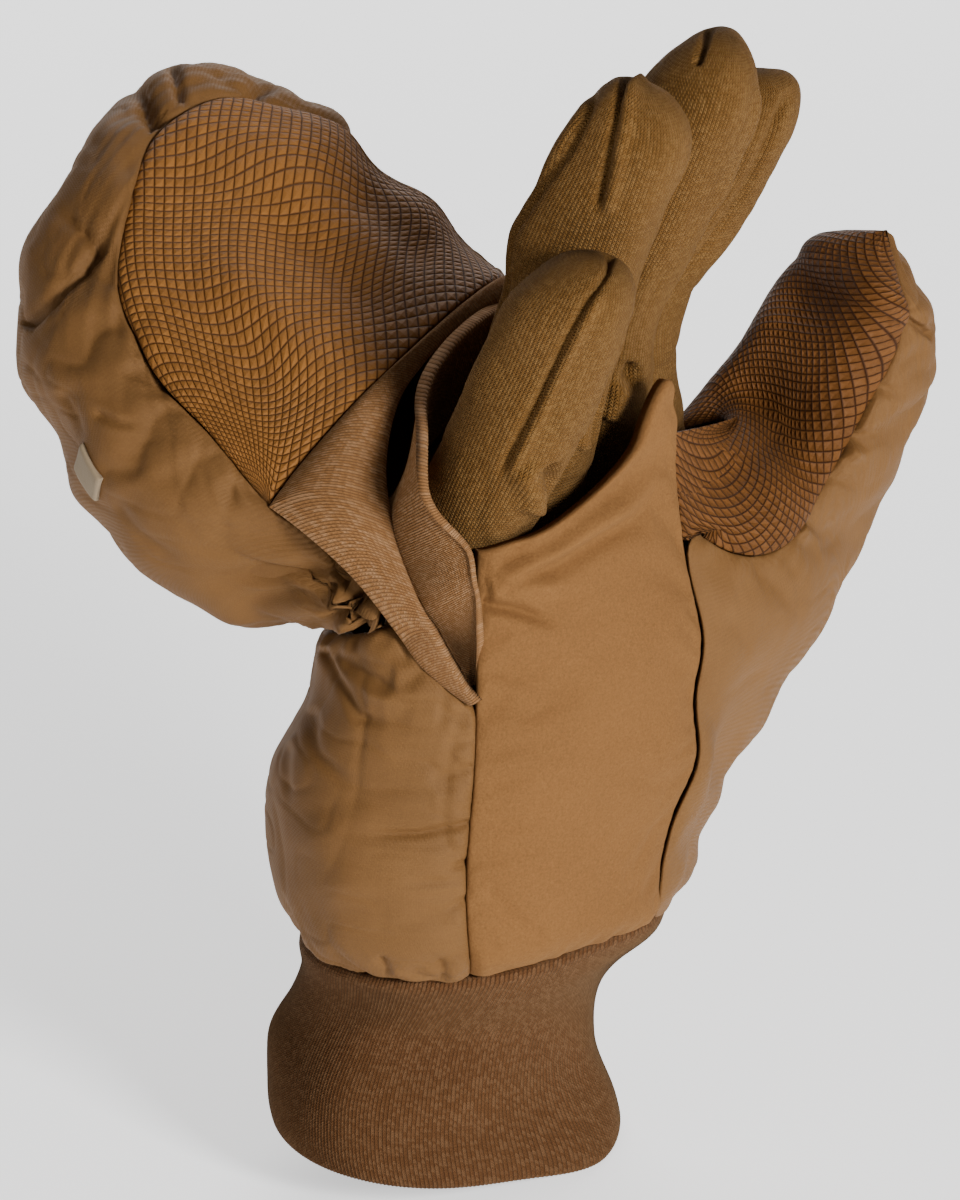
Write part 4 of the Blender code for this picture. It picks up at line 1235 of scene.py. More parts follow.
def knit_material(name, colour, light, stitch):
    """A knit: stitch bumps, painted shade in grooves and hollows, light heather flecks on some stitches."""
    wale, course, rib, flecks, bump, groove_shade = stitch
    material, graph, shader = surface_of(
        name, roughness=0.85, sheen=0.08, sheen_tint=(0.9, 0.55, 0.25), specular=0.1
    )
    dye = dyed(graph, colour, broad=0.14, fine=0.22, size=50.0)
    knit = use(graph, "knit", Wale=wale, Course=course, Slant=0.6, Rib=rib)
    spots = graph.times(graph.ease(knit["Fleck"], 0.25, 1.0), flecks)
    heather = graph.blend(spots, dye["Colour"], (*light, 1.0))
    # Painted shade: darker in the grooves between wales and where each stitch dips
    shade = graph.minus(1.0, graph.times(knit["Groove shade"], groove_shade))
    shade = graph.times(shade, graph.line(knit["Height"], 0.35, 0.78))
    height = graph.plus(knit["Height"], graph.times(dye["Grain"], 0.35))
    finish_cloth(graph, shader, graph.shade(heather, shade), height, bump)
    return material


def tab_material():
    """The tab's smooth, matt cloth with a little grain."""
    material, graph, shader = surface_of(
        "tab_cloth", roughness=0.8, sheen=0.1, sheen_tint=(1.0, 1.0, 1.0), specular=0.3
    )
    dye = dyed(graph, TAB, broad=0.08, fine=0.12, size=80.0)
    finish_cloth(graph, shader, dye["Colour"], dye["Grain"], TAB_BUMP)
    return material


MATERIALS = {
    "woven": woven_material(),
    "palm": brushed_material(),
    "grip": grip_material("grip_cloth", GRIP_TOP, GRIP_NET, 1.0),
    # The thumb's grip takes the darker colours, partly painted shade
    "thumb_grip": grip_material("grip_cloth_thumb_shaded", SHADED_THUMB_GRIP_TOP, SHADED_THUMB_GRIP_NET, THUMB_SCALES),
    "band": knit_material("band_knit", BAND, BAND_LIGHT, BAND_STITCH),
    "rib": knit_material("rib_knit", RIB, RIB_LIGHT, RIB_STITCH),
    "knit": knit_material("glove_knit", KNIT, KNIT_LIGHT, GLOVE_STITCH),
    "tab": tab_material(),
}


# Pieces

# Grids of the skins: points across, the share that each side's rolled edge takes, points along,
# and the shares that the rolled edges at their low and high ends take
GRIDS = {
    "palm_panel": (141, 0.012, 191, 0.008, 0.008),
    "back_shell": (191, 0.010, 151, 0.020, 0.020),
    "thumb_grip": (131, 0.020, 201, 0.010, 0.010),
    "thumb_shell": (191, 0.012, 181, 0.010, 0.010),
    "hood_grip": (241, 0.012, 181, 0.012, 0.012),
    "hood_shell": (271, 0.006, 151, 0.012, 0.0),
    "hood_tab": (41, 0.040, 31, 0.080, 0.080),
    "glove_hand": (101, 0.010, 51, 0.010, 0.010),
}
# Seams in mm: how far beside the seam the cloth starts to roll down and how far down it rolls,
# and the pitch and height of the small folds square to it
SEAMS = {
    "wrist_cuff": {"low": (1.4, 1.2, 3.0, 0.0), "high": (3.0, 1.2, 3.0, 0.0)},
    "palm_panel": {
        "left": (4.0, 1.6, 3.0, 0.25),
        "right": (3.0, 0.9, 3.0, 0.2),
        "low": (5.0, 1.8, 5.0, 0.3),
        "high": (1.2, 0.9, 3.0, 0.0),
    },
    "back_shell": {
        "left": (5.0, 1.8, 3.0, 0.5),
        "right": (4.5, 2.0, 2.6, 0.55),
        "low": (5.0, 2.0, 5.0, 0.6),
        "high": (5.0, 2.4, 5.0, 0.7),
    },
    "thumb_grip": {
        "left": (3.0, 0.5, 3.0, 0.15),
        "right": (3.0, 0.9, 3.0, 0.3),
        "low": (2.0, 0.5, 3.0, 0.1),
        "high": (2.0, 0.4, 3.0, 0.0),
    },
    "thumb_shell": {
        "left": (3.5, 0.8, 3.0, 0.45),
        "right": (4.0, 1.3, 3.0, 0.5),
        "low": (2.0, 0.3, 3.0, 0.1),
        "high": (2.5, 0.5, 3.0, 0.0),
    },
    "hood_grip": {"high": (4.0, 1.6, 4.0, 0.3), "low": (2.0, 0.5, 4.0, 0.1)},
    "hood_shell": {
        "left": (4.0, 2.2, 4.0, 0.5),
        "right": (4.0, 2.2, 4.0, 0.5),
        "low": (5.0, 2.0, 4.0, 0.6),
    },
    "hood_rib_band": {"high": (1.3, 0.9, 3.0, 0.0), "low": (1.5, 0.6, 3.0, 0.0)},
    "opening_rib_band": {"high": (1.3, 0.9, 3.0, 0.0), "low": (1.5, 0.6, 3.0, 0.0)},
    "hood_tab": {edge: (0.9, 0.5, 3.0, 0.0) for edge in ("left", "right", "low", "high")},
}
# Seeds of the small folds
FOLD_SEEDS = {
    "palm_panel": 20,
    "back_shell": 40,
    "thumb_grip": 60,
    "thumb_shell": 70,
    "hood_grip": 80,
    "hood_shell": 90,
}
# How far from a seam its small folds reach, as a share of its roll
PUCKER_REACH = 2.2
# Soft swells of the cloths in mm: height, size across, then the seed of their noise
SWELLS = {
    "wrist_cuff": (1.1, 28.0, 3),
    "palm_panel": (0.7, 30.0, 5),
    "palm_nap": (0.12, 7.0, 6),
    "thumb_grip": (0.8, 22.0, 61),
    "thumb_scales": (0.05, 2.2, 62),
    "hood_grip": (1.1, 26.0, 81),
    "hood_scales": (0.05, 2.2, 82),
    "hood_rib_band": (0.5, 20.0, 100),
    "opening_rib_band": (0.5, 20.0, 104),
    "hood_tab": (0.1, 6.0, 111),
    "glove_hand": (0.4, 14.0, 120),
}
# Crinkles of the padded shell in mm: height of the soft hollows and of the fine wrinkles, seed
CRINKLES = {
    "back_shell": (1.1, 0.28, 8),
    "thumb_shell": (0.8, 0.38, 74),
    "hood_shell": (1.2, 0.38, 94),
}
# Sizes across of the soft hollows, of the fine wrinkles and of the long wrinkles, then the height
# of the long ones and the size of the patches in which they come and go
HOLLOW_SIZE = 26.0 * MM
FINE_SIZE = 7.5 * MM
LONG_SIZE = 17.0 * MM
LONG_HEIGHT = 0.75 * MM
LONG_PATCHES = 40.0 * MM
# Fingers: height and size of their soft swells, of creases near their base and of fine unevenness
FINGER_SWELLS = (0.75 * MM, 12.0 * MM)
FINGER_CREASES = (0.45 * MM, 14.0 * MM)
FINGER_UNEVEN = (0.10 * MM, 2.2 * MM)
# Cloth simulation: by what share the cloth is too large for its place, and its filling's push
SETTLED = {
    "palm_panel": (0.025, 0.25),
    "back_shell": (0.055, 0.7),
    "thumb_shell": (0.035, 0.4),
    "hood_shell": (0.045, 0.6),
}
# Points of the simulated grid each way, its size against the real one and its frames, how near
# its pinned edges are, and how far its points may move
SETTLE_GRID = 72
SETTLE_SCALE = 20.0
SETTLE_FRAMES = 22
SETTLE_PINNED = 1.2 * MM
SETTLE_MOST = 4.0 * MM
SETTLE_CLOTH = {
    "quality": 6,
    "mass": 0.3,
    "air_damping": 6.0,
    "tension_stiffness": 25.0,
    "compression_stiffness": 25.0,
    "shear_stiffness": 8.0,
    "bending_stiffness": 0.3,
}
# Ribs round the cuff and along a band, the width of one, and the length round a finger
CUFF_RIBS = 250
BAND_RIBS = 190
RIB_PITCH = 1.0 * MM
FINGER_AROUND = 76.5 * MM
# Ribs in mm: height on the cuff and on the bands
CUFF_RIB_HEIGHT = 0.14 * MM
BAND_RIB_HEIGHT = 0.12 * MM
# The thumb's rows crowd toward its tip by this power, its relief fades in this share of the way
# at its tip, and its lining's normals are taken over this turn
THUMB_CROWDED = 1.5
THUMB_END = 0.05
LINING_TURN = 0.06
# The share beside the middle of the hood's back in which its seams and lines fade
HOOD_ZIP = 0.12
# The hollow of the thumb's grip: share of the way across, half width, depth, then the shares of
# the way up at which it starts and ends and the share in which it fades
GRIP_HOLLOW = (0.76, 0.17, 3.5 * MM)
GRIP_HOLLOW_UP = (0.15, 0.8, 0.3)
# Room for the thumb's cloth to move: at its gusset, and the share in which it fades at the tip
THUMB_ROOM = (0.25, 0.08)
# The share of a finger's way at which its creases begin to fade, and the share that this takes
FINGER_CREASED = (0.3, 0.4)
# How far the tab stands off the hood's shell, and how near the shell's points are that carry it
TAB_RISE = 1.2 * MM
TAB_NEAR = (20.0 * MM, 3.0 * MM)


def grid(node):
    """Shares across and along a piece's skin."""
    columns, side, rows, low, high = GRIDS[node]
    return marks(columns, side, side), marks(rows, low, high)


def seams(skin, node):
    """Relief at a piece's edges: it rolls down into each seam, with small folds square to it."""
    ways = edge_ways(skin)
    total = np.zeros(skin.u.shape)
    for number, (edge, sizes) in enumerate(SEAMS[node].items()):
        reach, depth, pitch, height = (size * MM for size in sizes)
        distance, way = ways[edge]
        total += rolled(distance, reach, depth)
        if height:
            seed = FOLD_SEEDS[node] + 5 * number
            total += puckers(distance, way, pitch, PUCKER_REACH * reach, height, seed)
    return total


def swell(points, name):
    """Soft noise of a cloth's own height, size and seed."""
    height, size, seed = SWELLS[name]
    return height * MM * noise(points, size * MM, seed)


def crinkles(skin, node):
    """Soft hollows, long sharp wrinkles and fine crinkles of the padded shell."""
    wide, fine, seed = CRINKLES[node]
    points = skin.points
    soft = wide * MM * noise(points, HOLLOW_SIZE, seed)
    long = LONG_HEIGHT * creased(points * (1.0, 1.0, 0.55), LONG_SIZE, seed + 1)
    small = fine * MM * creased(points * (0.8, 0.8, 1.3), FINE_SIZE, seed + 2)
    return soft + long * (0.6 + 0.4 * noise(points, LONG_PATCHES, seed + 3)) + small


def simulated(points, faces, held, grow, pressure):
    """Points of a cloth after its simulation: held ones stand still, the rest is pushed out."""
    data = bpy.data.meshes.new("settling")
    data.from_pydata(points.tolist(), [], faces.tolist())
    data.validate()
    cloth = bpy.data.objects.new("settling", data)
    scene = bpy.context.scene
    scene.collection.objects.link(cloth)
    group = cloth.vertex_groups.new(name="pinned")
    group.add(held.tolist(), 1.0, "REPLACE")
    modifier = cloth.modifiers.new("Cloth", "CLOTH")
    settings = modifier.settings
    settings.vertex_group_mass = "pinned"
    for key, value in SETTLE_CLOTH.items():
        setattr(settings, key, value)
    settings.shrink_min = -grow
    settings.use_pressure = True
    settings.uniform_pressure_force = pressure
    settings.effector_weights.gravity = 0.0
    modifier.point_cache.frame_start = 1
    modifier.point_cache.frame_end = SETTLE_FRAMES
    for number in range(1, SETTLE_FRAMES + 1):
        scene.frame_set(number)
    body = cloth.evaluated_get(bpy.context.evaluated_depsgraph_get()).to_mesh()
    ended = np.empty(len(body.vertices) * 3)
    body.vertices.foreach_get("co", ended)
    bpy.data.objects.remove(cloth)
    bpy.data.meshes.remove(data)
    scene.frame_set(1)
    return ended.reshape(-1, 3)


def settled(skin, relief, node):
    """The relief after a cloth simulation of the padded skin.

    A coarse grid of the skin with its relief is a cloth whose seams stand still. It is a little
    too large for its place and is pushed out by its filling, so that it buckles. How far each
    point has moved along its normal, up to a limit, is blended over the dense grid.
    """
    rows, columns = relief.shape
    pick_u = np.unique(np.linspace(0, rows - 1, SETTLE_GRID).round().astype(int))
    pick_v = np.unique(np.linspace(0, columns - 1, SETTLE_GRID).round().astype(int))
    chosen = np.ix_(pick_u, pick_v)
    base, normal, start = skin.points[chosen], skin.normal[chosen], relief[chosen]
    points = ((base + normal * start[..., None]) * SETTLE_SCALE).reshape(-1, 3)
    _, first, same = np.unique(points.round(4), axis=0, return_index=True, return_inverse=True)
    same = same.ravel()
    index = same.reshape(start.shape)
    corners = (index[:-1, :-1], index[1:, :-1], index[1:, 1:], index[:-1, 1:])
    faces = np.stack([corner.ravel() for corner in corners], axis=1)
    ways = edge_ways(skin)
    near = np.min([ways[edge][0][chosen] for edge in SEAMS[node]], axis=0)
    held = np.zeros(len(first))
    np.maximum.at(held, same, (near.ravel() < SETTLE_PINNED).astype(float))
    ended = simulated(points[first], faces, np.flatnonzero(held), *SETTLED[node])
    ended = ended[same].reshape(base.shape) / SETTLE_SCALE
    change = np.sum((ended - base) * normal, axis=-1) - start
    change = SETTLE_MOST * np.tanh(change / SETTLE_MOST)
    whole_u, whole_v = np.arange(rows), np.arange(columns)
    partly = np.stack([np.interp(whole_u, pick_u, line) for line in change.T], axis=1)
    full = np.stack([np.interp(whole_v, pick_v, line) for line in partly])
    for _ in range(3):
        full[1:-1] = 0.25 * full[:-2] + 0.5 * full[1:-1] + 0.25 * full[2:]
        full[:, 1:-1] = 0.25 * full[:, :-2] + 0.5 * full[:, 1:-1] + 0.25 * full[:, 2:]
    return relief + full


def around_uv(skin, us, length):
    """Lengths round and along a piece that runs around, with its first column once more."""
    across = np.append(us, 2.0 * np.pi) / (2.0 * np.pi) * length
    return np.stack(np.broadcast_arrays(across[:, None], skin.along.mean(axis=0)[None]), axis=-1)


def make_cuff():
    """The rib-knitted cuff: ribs, soft waves, a rolled lower edge and a tuck at its seam."""
    us = np.linspace(0.0, 2.0 * np.pi, 4 * CUFF_RIBS, endpoint=False)
    vs = marks(37, 0.04)
    skin, lining = wall(cuff, us, vs, CUFF_WALL, True)
    lining[:, (0, -1), 2] = skin.points[::2, (0, -1), 2]
    relief = CUFF_RIB_HEIGHT * np.cos(CUFF_RIBS * skin.u) * smooth_step((1.0 - skin.v) / 0.08)
    waves = swell(skin.points * (1.0, 1.0, 1.6), "wrist_cuff")
    relief += waves * smooth_step(skin.v / 0.2) * smooth_step((1.0 - skin.v) / 0.2)
    relief += seams(skin, "wrist_cuff") + strokes(skin, CUFF_LINES)
    uv = around_uv(skin, us, CUFF_RIBS * RIB_PITCH)
    cloth_piece("wrist_cuff", skin, lining, relief, MATERIALS["rib"], uv=uv, follow=0.8)


def make_palm():
    """The brushed palm, pillowed between its seams."""
    skin, lining = wall(palm, *grid("palm_panel"), PALM_WALL)
    relief = seams(skin, "palm_panel") + strokes(skin, PALM_LINES)
    relief += swell(skin.points, "palm_panel") + swell(skin.points, "palm_nap")
    relief = settled(skin, relief, "palm_panel")
    cloth_piece("palm_panel", skin, lining, relief, MATERIALS["palm"])


def padded_piece(node, skin, lining, relief, follow, shut=False):
    """A padded piece of the woven shell."""
    piece = cloth_piece(node, skin, lining, relief, MATERIALS["woven"], shut, None, follow)


def make_back():
    """The padded back and side of the hand."""
    skin, lining = wall(back, *grid("back_shell"), PADDED_WALL)
    relief = seams(skin, "back_shell") + crinkles(skin, "back_shell") + strokes(skin, BACK_LINES)
    padded_piece("back_shell", skin, lining, settled(skin, relief, "back_shell"), 0.2)


def thumb_half(v, side):
    """Half turn of the thumb's grip at a share of the way, moved by half a gap to one side."""
    gap = SEAM_GAP * (3.0 - 2.0 * smooth_step(v / GUSSET_REACH)) / THUMB_WIDTH
    return np.radians(through(GRIP_TURN, v)[..., 0]) + side * gap


def web(u, v):
    """Where the grip's foot climbs the palm's edge to the web of the thumb, and how strongly."""
    side = np.clip((u - WEB_FOOT) / (WEB_CORNER - WEB_FOOT), 0.0, 1.0)
    up = WEB_RISE * smooth_step(u / WEB_FOOT) * (1.0 - side)
    turn = THUMB_BACK + (THUMB_FRONT - THUMB_BACK) * smooth_step(u / WEB_FOOT)
    turn = turn + WEB_PAST * np.clip((u - WEB_CORNER) / (1.0 - WEB_CORNER), 0.0, 1.0)
    place = hand(np.radians(turn), THUMB_TOP + up)
    left = 1.0 - np.sin(0.5 * np.pi * np.clip(v / THUMB_BLEND, 0.0, 1.0))
    held = np.clip((1.0 - u) / WEB_HELD[0], 0.0, 1.0) + np.clip(1.0 - v / WEB_HELD[1], 0.0, 1.0)
    return place, (left * smooth_step(held))[..., None]


def thumb_panel(node, start, end, depth, webbed=False):
    """Skin and lining of one of the thumb's panels, between the turns that start and end give."""
    us, vs = grid(node)

    def climb(u, way, turn, point):
        if webbed:
            place, left = web(u, way)
            point = point + (place - hand(*thumb_outline(turn))) * left
        return point

    def surface(u, v):
        way = 1.0 - (1.0 - v) ** THUMB_CROWDED
        turn = start(way) + (end(way) - start(way)) * u
        return climb(u, way, turn, thumb(turn, way))

    u, v = every_second(us, vs)
    v = 1.0 - (1.0 - v) ** THUMB_CROWDED
    v = v * (1.0 - THUMB_TIP_SHARE * v * v)
    deep = depth * (GUSSET_THIN + (1.0 - GUSSET_THIN) * smooth_step(v / GUSSET_REACH))
    turn = start(v) + (end(v) - start(v)) * u
    return lay(surface, us, vs), climb(u, v, turn, moved_in(thumb, turn, v, deep, LINING_TURN)[1])


def thumb_room(skin):
    """How far the thumb's cloth may move: little at its gusset, where the wall is thin."""
    low, end = THUMB_ROOM
    room = low + (1.0 - low) * smooth_step(skin.v / GUSSET_REACH)
    return room * smooth_step((1.0 - skin.v) / end)


def make_thumb_grip():
    """The grip on the thumb's inner side, hollow next to the fingers."""
    skin, lining = thumb_panel(
        "thumb_grip", lambda v: -thumb_half(v, -1.0), lambda v: thumb_half(v, -1.0), GRIP_WALL, True
    )
    room = thumb_room(skin)
    relief = seams(skin, "thumb_grip") + swell(skin.points, "thumb_grip") * room
    relief += (strokes(skin, THUMB_GRIP_LINES) + swell(skin.points, "thumb_scales")) * room
    place, width, depth = GRIP_HOLLOW
    low, high, fade = GRIP_HOLLOW_UP
    hollow = np.exp(-(((skin.u - place) / width) ** 2)) * smooth_step((skin.v - low) / fade)
    relief -= depth * hollow * smooth_step((high - skin.v) / fade)
    relief *= smooth_step((1.0 - skin.v) / THUMB_END)
    third = skin.u.shape[0] // 3
    along = skin.along[third:-third].mean(axis=0)[None] + 0.0 * skin.u
    uv = np.stack((skin.across - skin.across[skin.u.shape[0] // 2], along), axis=-1)
    # Grip cloth with darker colours, partly painted shade
    material = MATERIALS["thumb_grip"]
    cloth_piece("thumb_grip", skin, lining, relief, material, uv=uv, follow=0.9)


def make_thumb():
    """The thumb's padded shell, with its gusset on the hand."""
    skin, lining = thumb_panel(
        "thumb_shell", lambda v: thumb_half(v, 1.0), lambda v: 2.0 * np.pi - thumb_half(v, 1.0), PADDED_WALL
    )
    marked = crinkles(skin, "thumb_shell") + strokes(skin, THUMB_LINES)
    relief = seams(skin, "thumb_shell") + marked * thumb_room(skin)
    relief = settled(skin, relief, "thumb_shell") * smooth_step((1.0 - skin.v) / THUMB_END)
    padded_piece("thumb_shell", skin, lining, relief, 0.1)


def make_hood_grip():
    """The grip of the hood."""
    us, vs = grid("hood_grip")

    def surface(u, v, inset=0.0):
        point = hood_grip_chart(u, v)
        return hood(point[..., 0], point[..., 1], inset)

    skin, lining = lay(surface, us, vs), surface(*every_second(us, vs), GRIP_WALL)
    relief = seams(skin, "hood_grip") + swell(skin.points, "hood_grip")
    relief += strokes(skin, HOOD_GRIP_LINES) + swell(skin.points, "hood_scales")
    cloth_piece("hood_grip", skin, lining, relief, MATERIALS["grip"], follow=0.9)


def make_hood():
    """The hood's padded shell. Its skin is handed on to the tab."""
    us, vs = grid("hood_shell")

    def surface(u, v, inset=0.0):
        point = hood_shell_chart(u, np.sin(0.5 * np.pi * v))
        return hood(point[..., 0], point[..., 1], inset)

    skin, lining = lay(surface, us, vs), surface(*every_second(us, vs), PADDED_WALL)
    zipped = smooth_step((1.0 - skin.v) / HOOD_ZIP)
    relief = (seams(skin, "hood_shell") + strokes(skin, HOOD_LINES)) * zipped
    relief = settled(skin, relief + crinkles(skin, "hood_shell"), "hood_shell")
    padded_piece("hood_shell", skin, lining, relief, 0.2, shut=True)
    return skin


def make_band(node, surface, wall_depth, lines, lining_fix=None):
    """A rib band: ribs run from its seam to its free edge, which is rolled."""
    us = np.linspace(0.0, 1.0, 4 * BAND_RIBS + 1)
    vs = marks(27, 0.05, 0.07)
    skin, lining = wall(surface, us, vs, wall_depth)
    if lining_fix is not None:
        lining_fix(lining, us[::2])
    low, high = (edge_ways(skin)[edge][0] for edge in ("low", "high"))
    fade = smooth_step(low / (1.5 * MM)) * smooth_step(high / (0.8 * MM))
    relief = BAND_RIB_HEIGHT * np.cos(2.0 * np.pi * BAND_RIBS * skin.u) * fade
    relief += seams(skin, node) + swell(skin.points, node) + strokes(skin, lines)
    wide = skin.along[:, -1].mean() * skin.v[0]
    long = BAND_RIBS * RIB_PITCH * skin.u[:, 0]
    uv = np.stack(np.broadcast_arrays(long[:, None], wide[None]), axis=-1)
    cloth_piece(node, skin, lining, relief, MATERIALS["band"], uv=uv, follow=0.9)


def hood_band_lining(lining, u):
    """Sets the lining's seam row inside the hood's lip."""
    on_lip = u >= BAND_CORNER
    lining[on_lip, 0] = hood(*lip_chart(u[on_lip]), RIB_WALL)


def carried(points, skin):
    """Points moved as the skin near them has moved from its first to its final form."""
    flat = points.reshape(-1, 3)
    first = skin.points.reshape(-1, 3)
    close = np.linalg.norm(first - flat.mean(axis=0), axis=1) < TAB_NEAR[0]
    gap = np.linalg.norm(flat[:, None] - first[close][None], axis=-1)
    weight = np.exp(-((gap / TAB_NEAR[1]) ** 2))
    shift = weight @ (skin.outer - skin.points).reshape(-1, 3)[close]
    return points + (shift / weight.sum(axis=1, keepdims=True)).reshape(points.shape)


def make_tab(shell):
    """The small plain tab on the hood's shell, with soft corners."""
    us, vs = grid("hood_tab")

    def chart(u, v):
        turn = np.radians(TAB_TURNS[0] + (TAB_TURNS[1] - TAB_TURNS[0]) * u)
        left = TAB_LEFT[1] + (TAB_LEFT[0] - TAB_LEFT[1]) * v
        return left * np.cos(turn), left * np.sin(turn)

    skin = lay(lambda u, v: carried(moved_in(hood, *chart(u, v), TAB_RISE)[1], shell), us, vs)
    lining = carried(hood(*chart(*every_second(us, vs))), shell)
    relief = seams(skin, "hood_tab") + swell(skin.points, "hood_tab")
    cloth_piece("hood_tab", skin, lining, relief, MATERIALS["tab"])


def make_finger(number, row):
    """One finger of the inner glove: soft swells, creases near its base and fine unevenness."""
    us = np.linspace(0.0, 2.0 * np.pi, 120, endpoint=False)
    vs = np.linspace(0.0, 1.0, 151)
    skin = lay(lambda turn, along: finger(row, turn, along, 0.0), us, vs, True)
    lining = finger(row, *every_second(us, vs), GLOVE_WALL)
    lining[:, 0, 2] = skin.points[::2, 0, 2]
    points = skin.points
    height, size = FINGER_SWELLS
    relief = height * noise(points, size, 130 + number) + strokes(skin, FINGER_LINES[number])
    height, size = FINGER_CREASES
    low = 1.0 - smooth_step((skin.v - FINGER_CREASED[0]) / FINGER_CREASED[1])
    relief += height * creased(points, size, 150 + number) * low
    height, size = FINGER_UNEVEN
    relief += height * noise(points * (1.0, 1.0, 0.5), size, 140 + number)
    uv = around_uv(skin, us, FINGER_AROUND)
    material = MATERIALS["knit"]
    cloth_piece(row[0], skin, lining, relief, material, shut=True, uv=uv, follow=0.9)


def make_glove():
    """The inner glove's hand and its four fingers."""
    skin, lining = wall(glove_hand, *grid("glove_hand"), GLOVE_WALL)
    relief = swell(skin.points, "glove_hand")
    cloth_piece("glove_hand", skin, lining, relief, MATERIALS["knit"])
    for number, row in enumerate(FINGER_ROWS):
        make_finger(number, row)


# Drawn creases and ridges: height in mm, half width in drawing units, the shares in which they
# fade at their start and end, and their points in the drawing
CUFF_LINES = [
    (0.9, 26.0, (0.3, 0.3), [(300, 1075), (400, 1105), (520, 1100)]),
    (-0.9, 22.0, (0.2, 0.3), [(300, 1010), (420, 1040), (560, 1030)]),
    (-0.7, 14.0, (0.2, 0.3), [(560, 1040), (585, 1100), (575, 1150)]),
]
PALM_LINES = [
    (-1.7, 6.0, (0.02, 0.5), [(484, 606), (520, 611), (562, 626)]),
    (1.5, 11.0, (0.1, 0.5), [(488, 592), (530, 584), (570, 590)]),
    (-1.3, 9.0, (0.1, 0.4), [(486, 594), (553, 568), (627, 523), (664, 475)]),
    (1.4, 12.0, (0.1, 0.4), [(492, 583), (553, 555), (620, 508), (655, 465)]),
    (-1.2, 9.0, (0.1, 0.4), [(494, 572), (553, 540), (608, 494), (645, 453)]),
    (1.2, 10.0, (0.1, 0.4), [(520, 555), (590, 500), (640, 440), (660, 400)]),
    (-0.6, 16.0, (0.2, 0.4), [(490, 660), (530, 680), (570, 730)]),
    (-0.8, 7.0, (0.2, 0.3), [(655, 430), (672, 415), (672, 390)]),
]
BACK_LINES = [
    (-1.2, 6.0, (0.05, 0.4), [(324, 648), (334, 672), (364, 714), (410, 722)]),
    (-0.9, 6.0, (0.05, 0.4), [(332, 652), (365, 672), (411, 697)]),
    (-0.9, 7.0, (0.1, 0.4), [(306, 706), (325, 751), (367, 787)]),
    (-0.7, 6.0, (0.2, 0.4), [(296, 740), (300, 808)]),
    (-1.1, 4.0, (0.5, 0.05), [(362, 826), (420, 829), (474, 820)]),
    (-0.8, 5.0, (0.5, 0.05), [(430, 779), (476, 764)]),
    (-0.6, 4.0, (0.5, 0.05), [(446, 743), (476, 738)]),
    (-0.6, 4.0, (0.5, 0.05), [(445, 868), (474, 858)]),
    (-0.7, 4.0, (0.5, 0.05), [(440, 905), (473, 895)]),
    (-0.9, 4.0, (0.2, 0.2), [(440, 950), (448, 972)]),
    (-0.9, 4.0, (0.2, 0.2), [(384, 945), (394, 966)]),
    (1.3, 40.0, (0.3, 0.3), [(330, 800), (345, 860), (350, 905)]),
    (0.9, 9.0, (0.2, 0.5), [(345, 662), (380, 690), (430, 705)]),
]
THUMB_LINES = [
    (-1.4, 4.0, (0.02, 0.02), [(884, 318), (910, 326), (934, 339)]),
    (1.5, 8.0, (0.2, 0.4), [(738, 553), (722, 595), (707, 641)]),
    (-1.4, 8.0, (0.1, 0.5), [(765, 534), (758, 562), (753, 595)]),
    (-1.2, 6.0, (0.3, 0.3), [(717, 699), (752, 682), (789, 664)]),
    (-1.2, 6.0, (0.1, 0.5), [(804, 498), (812, 520), (818, 543)]),
    (1.2, 6.0, (0.1, 0.5), [(796, 505), (803, 525), (808, 548)]),
    (-1.3, 6.0, (0.1, 0.4), [(838, 420), (852, 438), (870, 450)]),
    (1.2, 7.0, (0.1, 0.4), [(832, 434), (848, 452), (868, 462)]),
    (-1.1, 6.0, (0.1, 0.5), [(866, 372), (882, 392), (905, 398)]),
    (-0.7, 5.0, (0.05, 0.5), [(830, 455), (850, 440), (905, 430)]),
    (-0.7, 5.0, (0.05, 0.5), [(812, 485), (835, 480), (870, 490)]),
    (-0.8, 6.0, (0.3, 0.5), [(700, 600), (740, 640), (760, 700)]),
    (-0.6, 7.0, (0.3, 0.5), [(745, 560), (775, 590), (800, 630)]),
    (-0.7, 7.0, (0.3, 0.5), [(700, 700), (725, 740), (735, 780)]),
]
THUMB_GRIP_LINES = [
    (-0.9, 14.0, (0.2, 0.4), [(700, 490), (750, 460), (800, 420)]),
]
HOOD_GRIP_LINES = [
    (-1.2, 22.0, (0.3, 0.3), [(250, 200), (330, 260), (400, 330)]),
    (1.0, 26.0, (0.3, 0.3), [(200, 250), (280, 330), (340, 400)]),
    (-1.0, 16.0, (0.3, 0.3), [(340, 180), (400, 240), (440, 280)]),
]
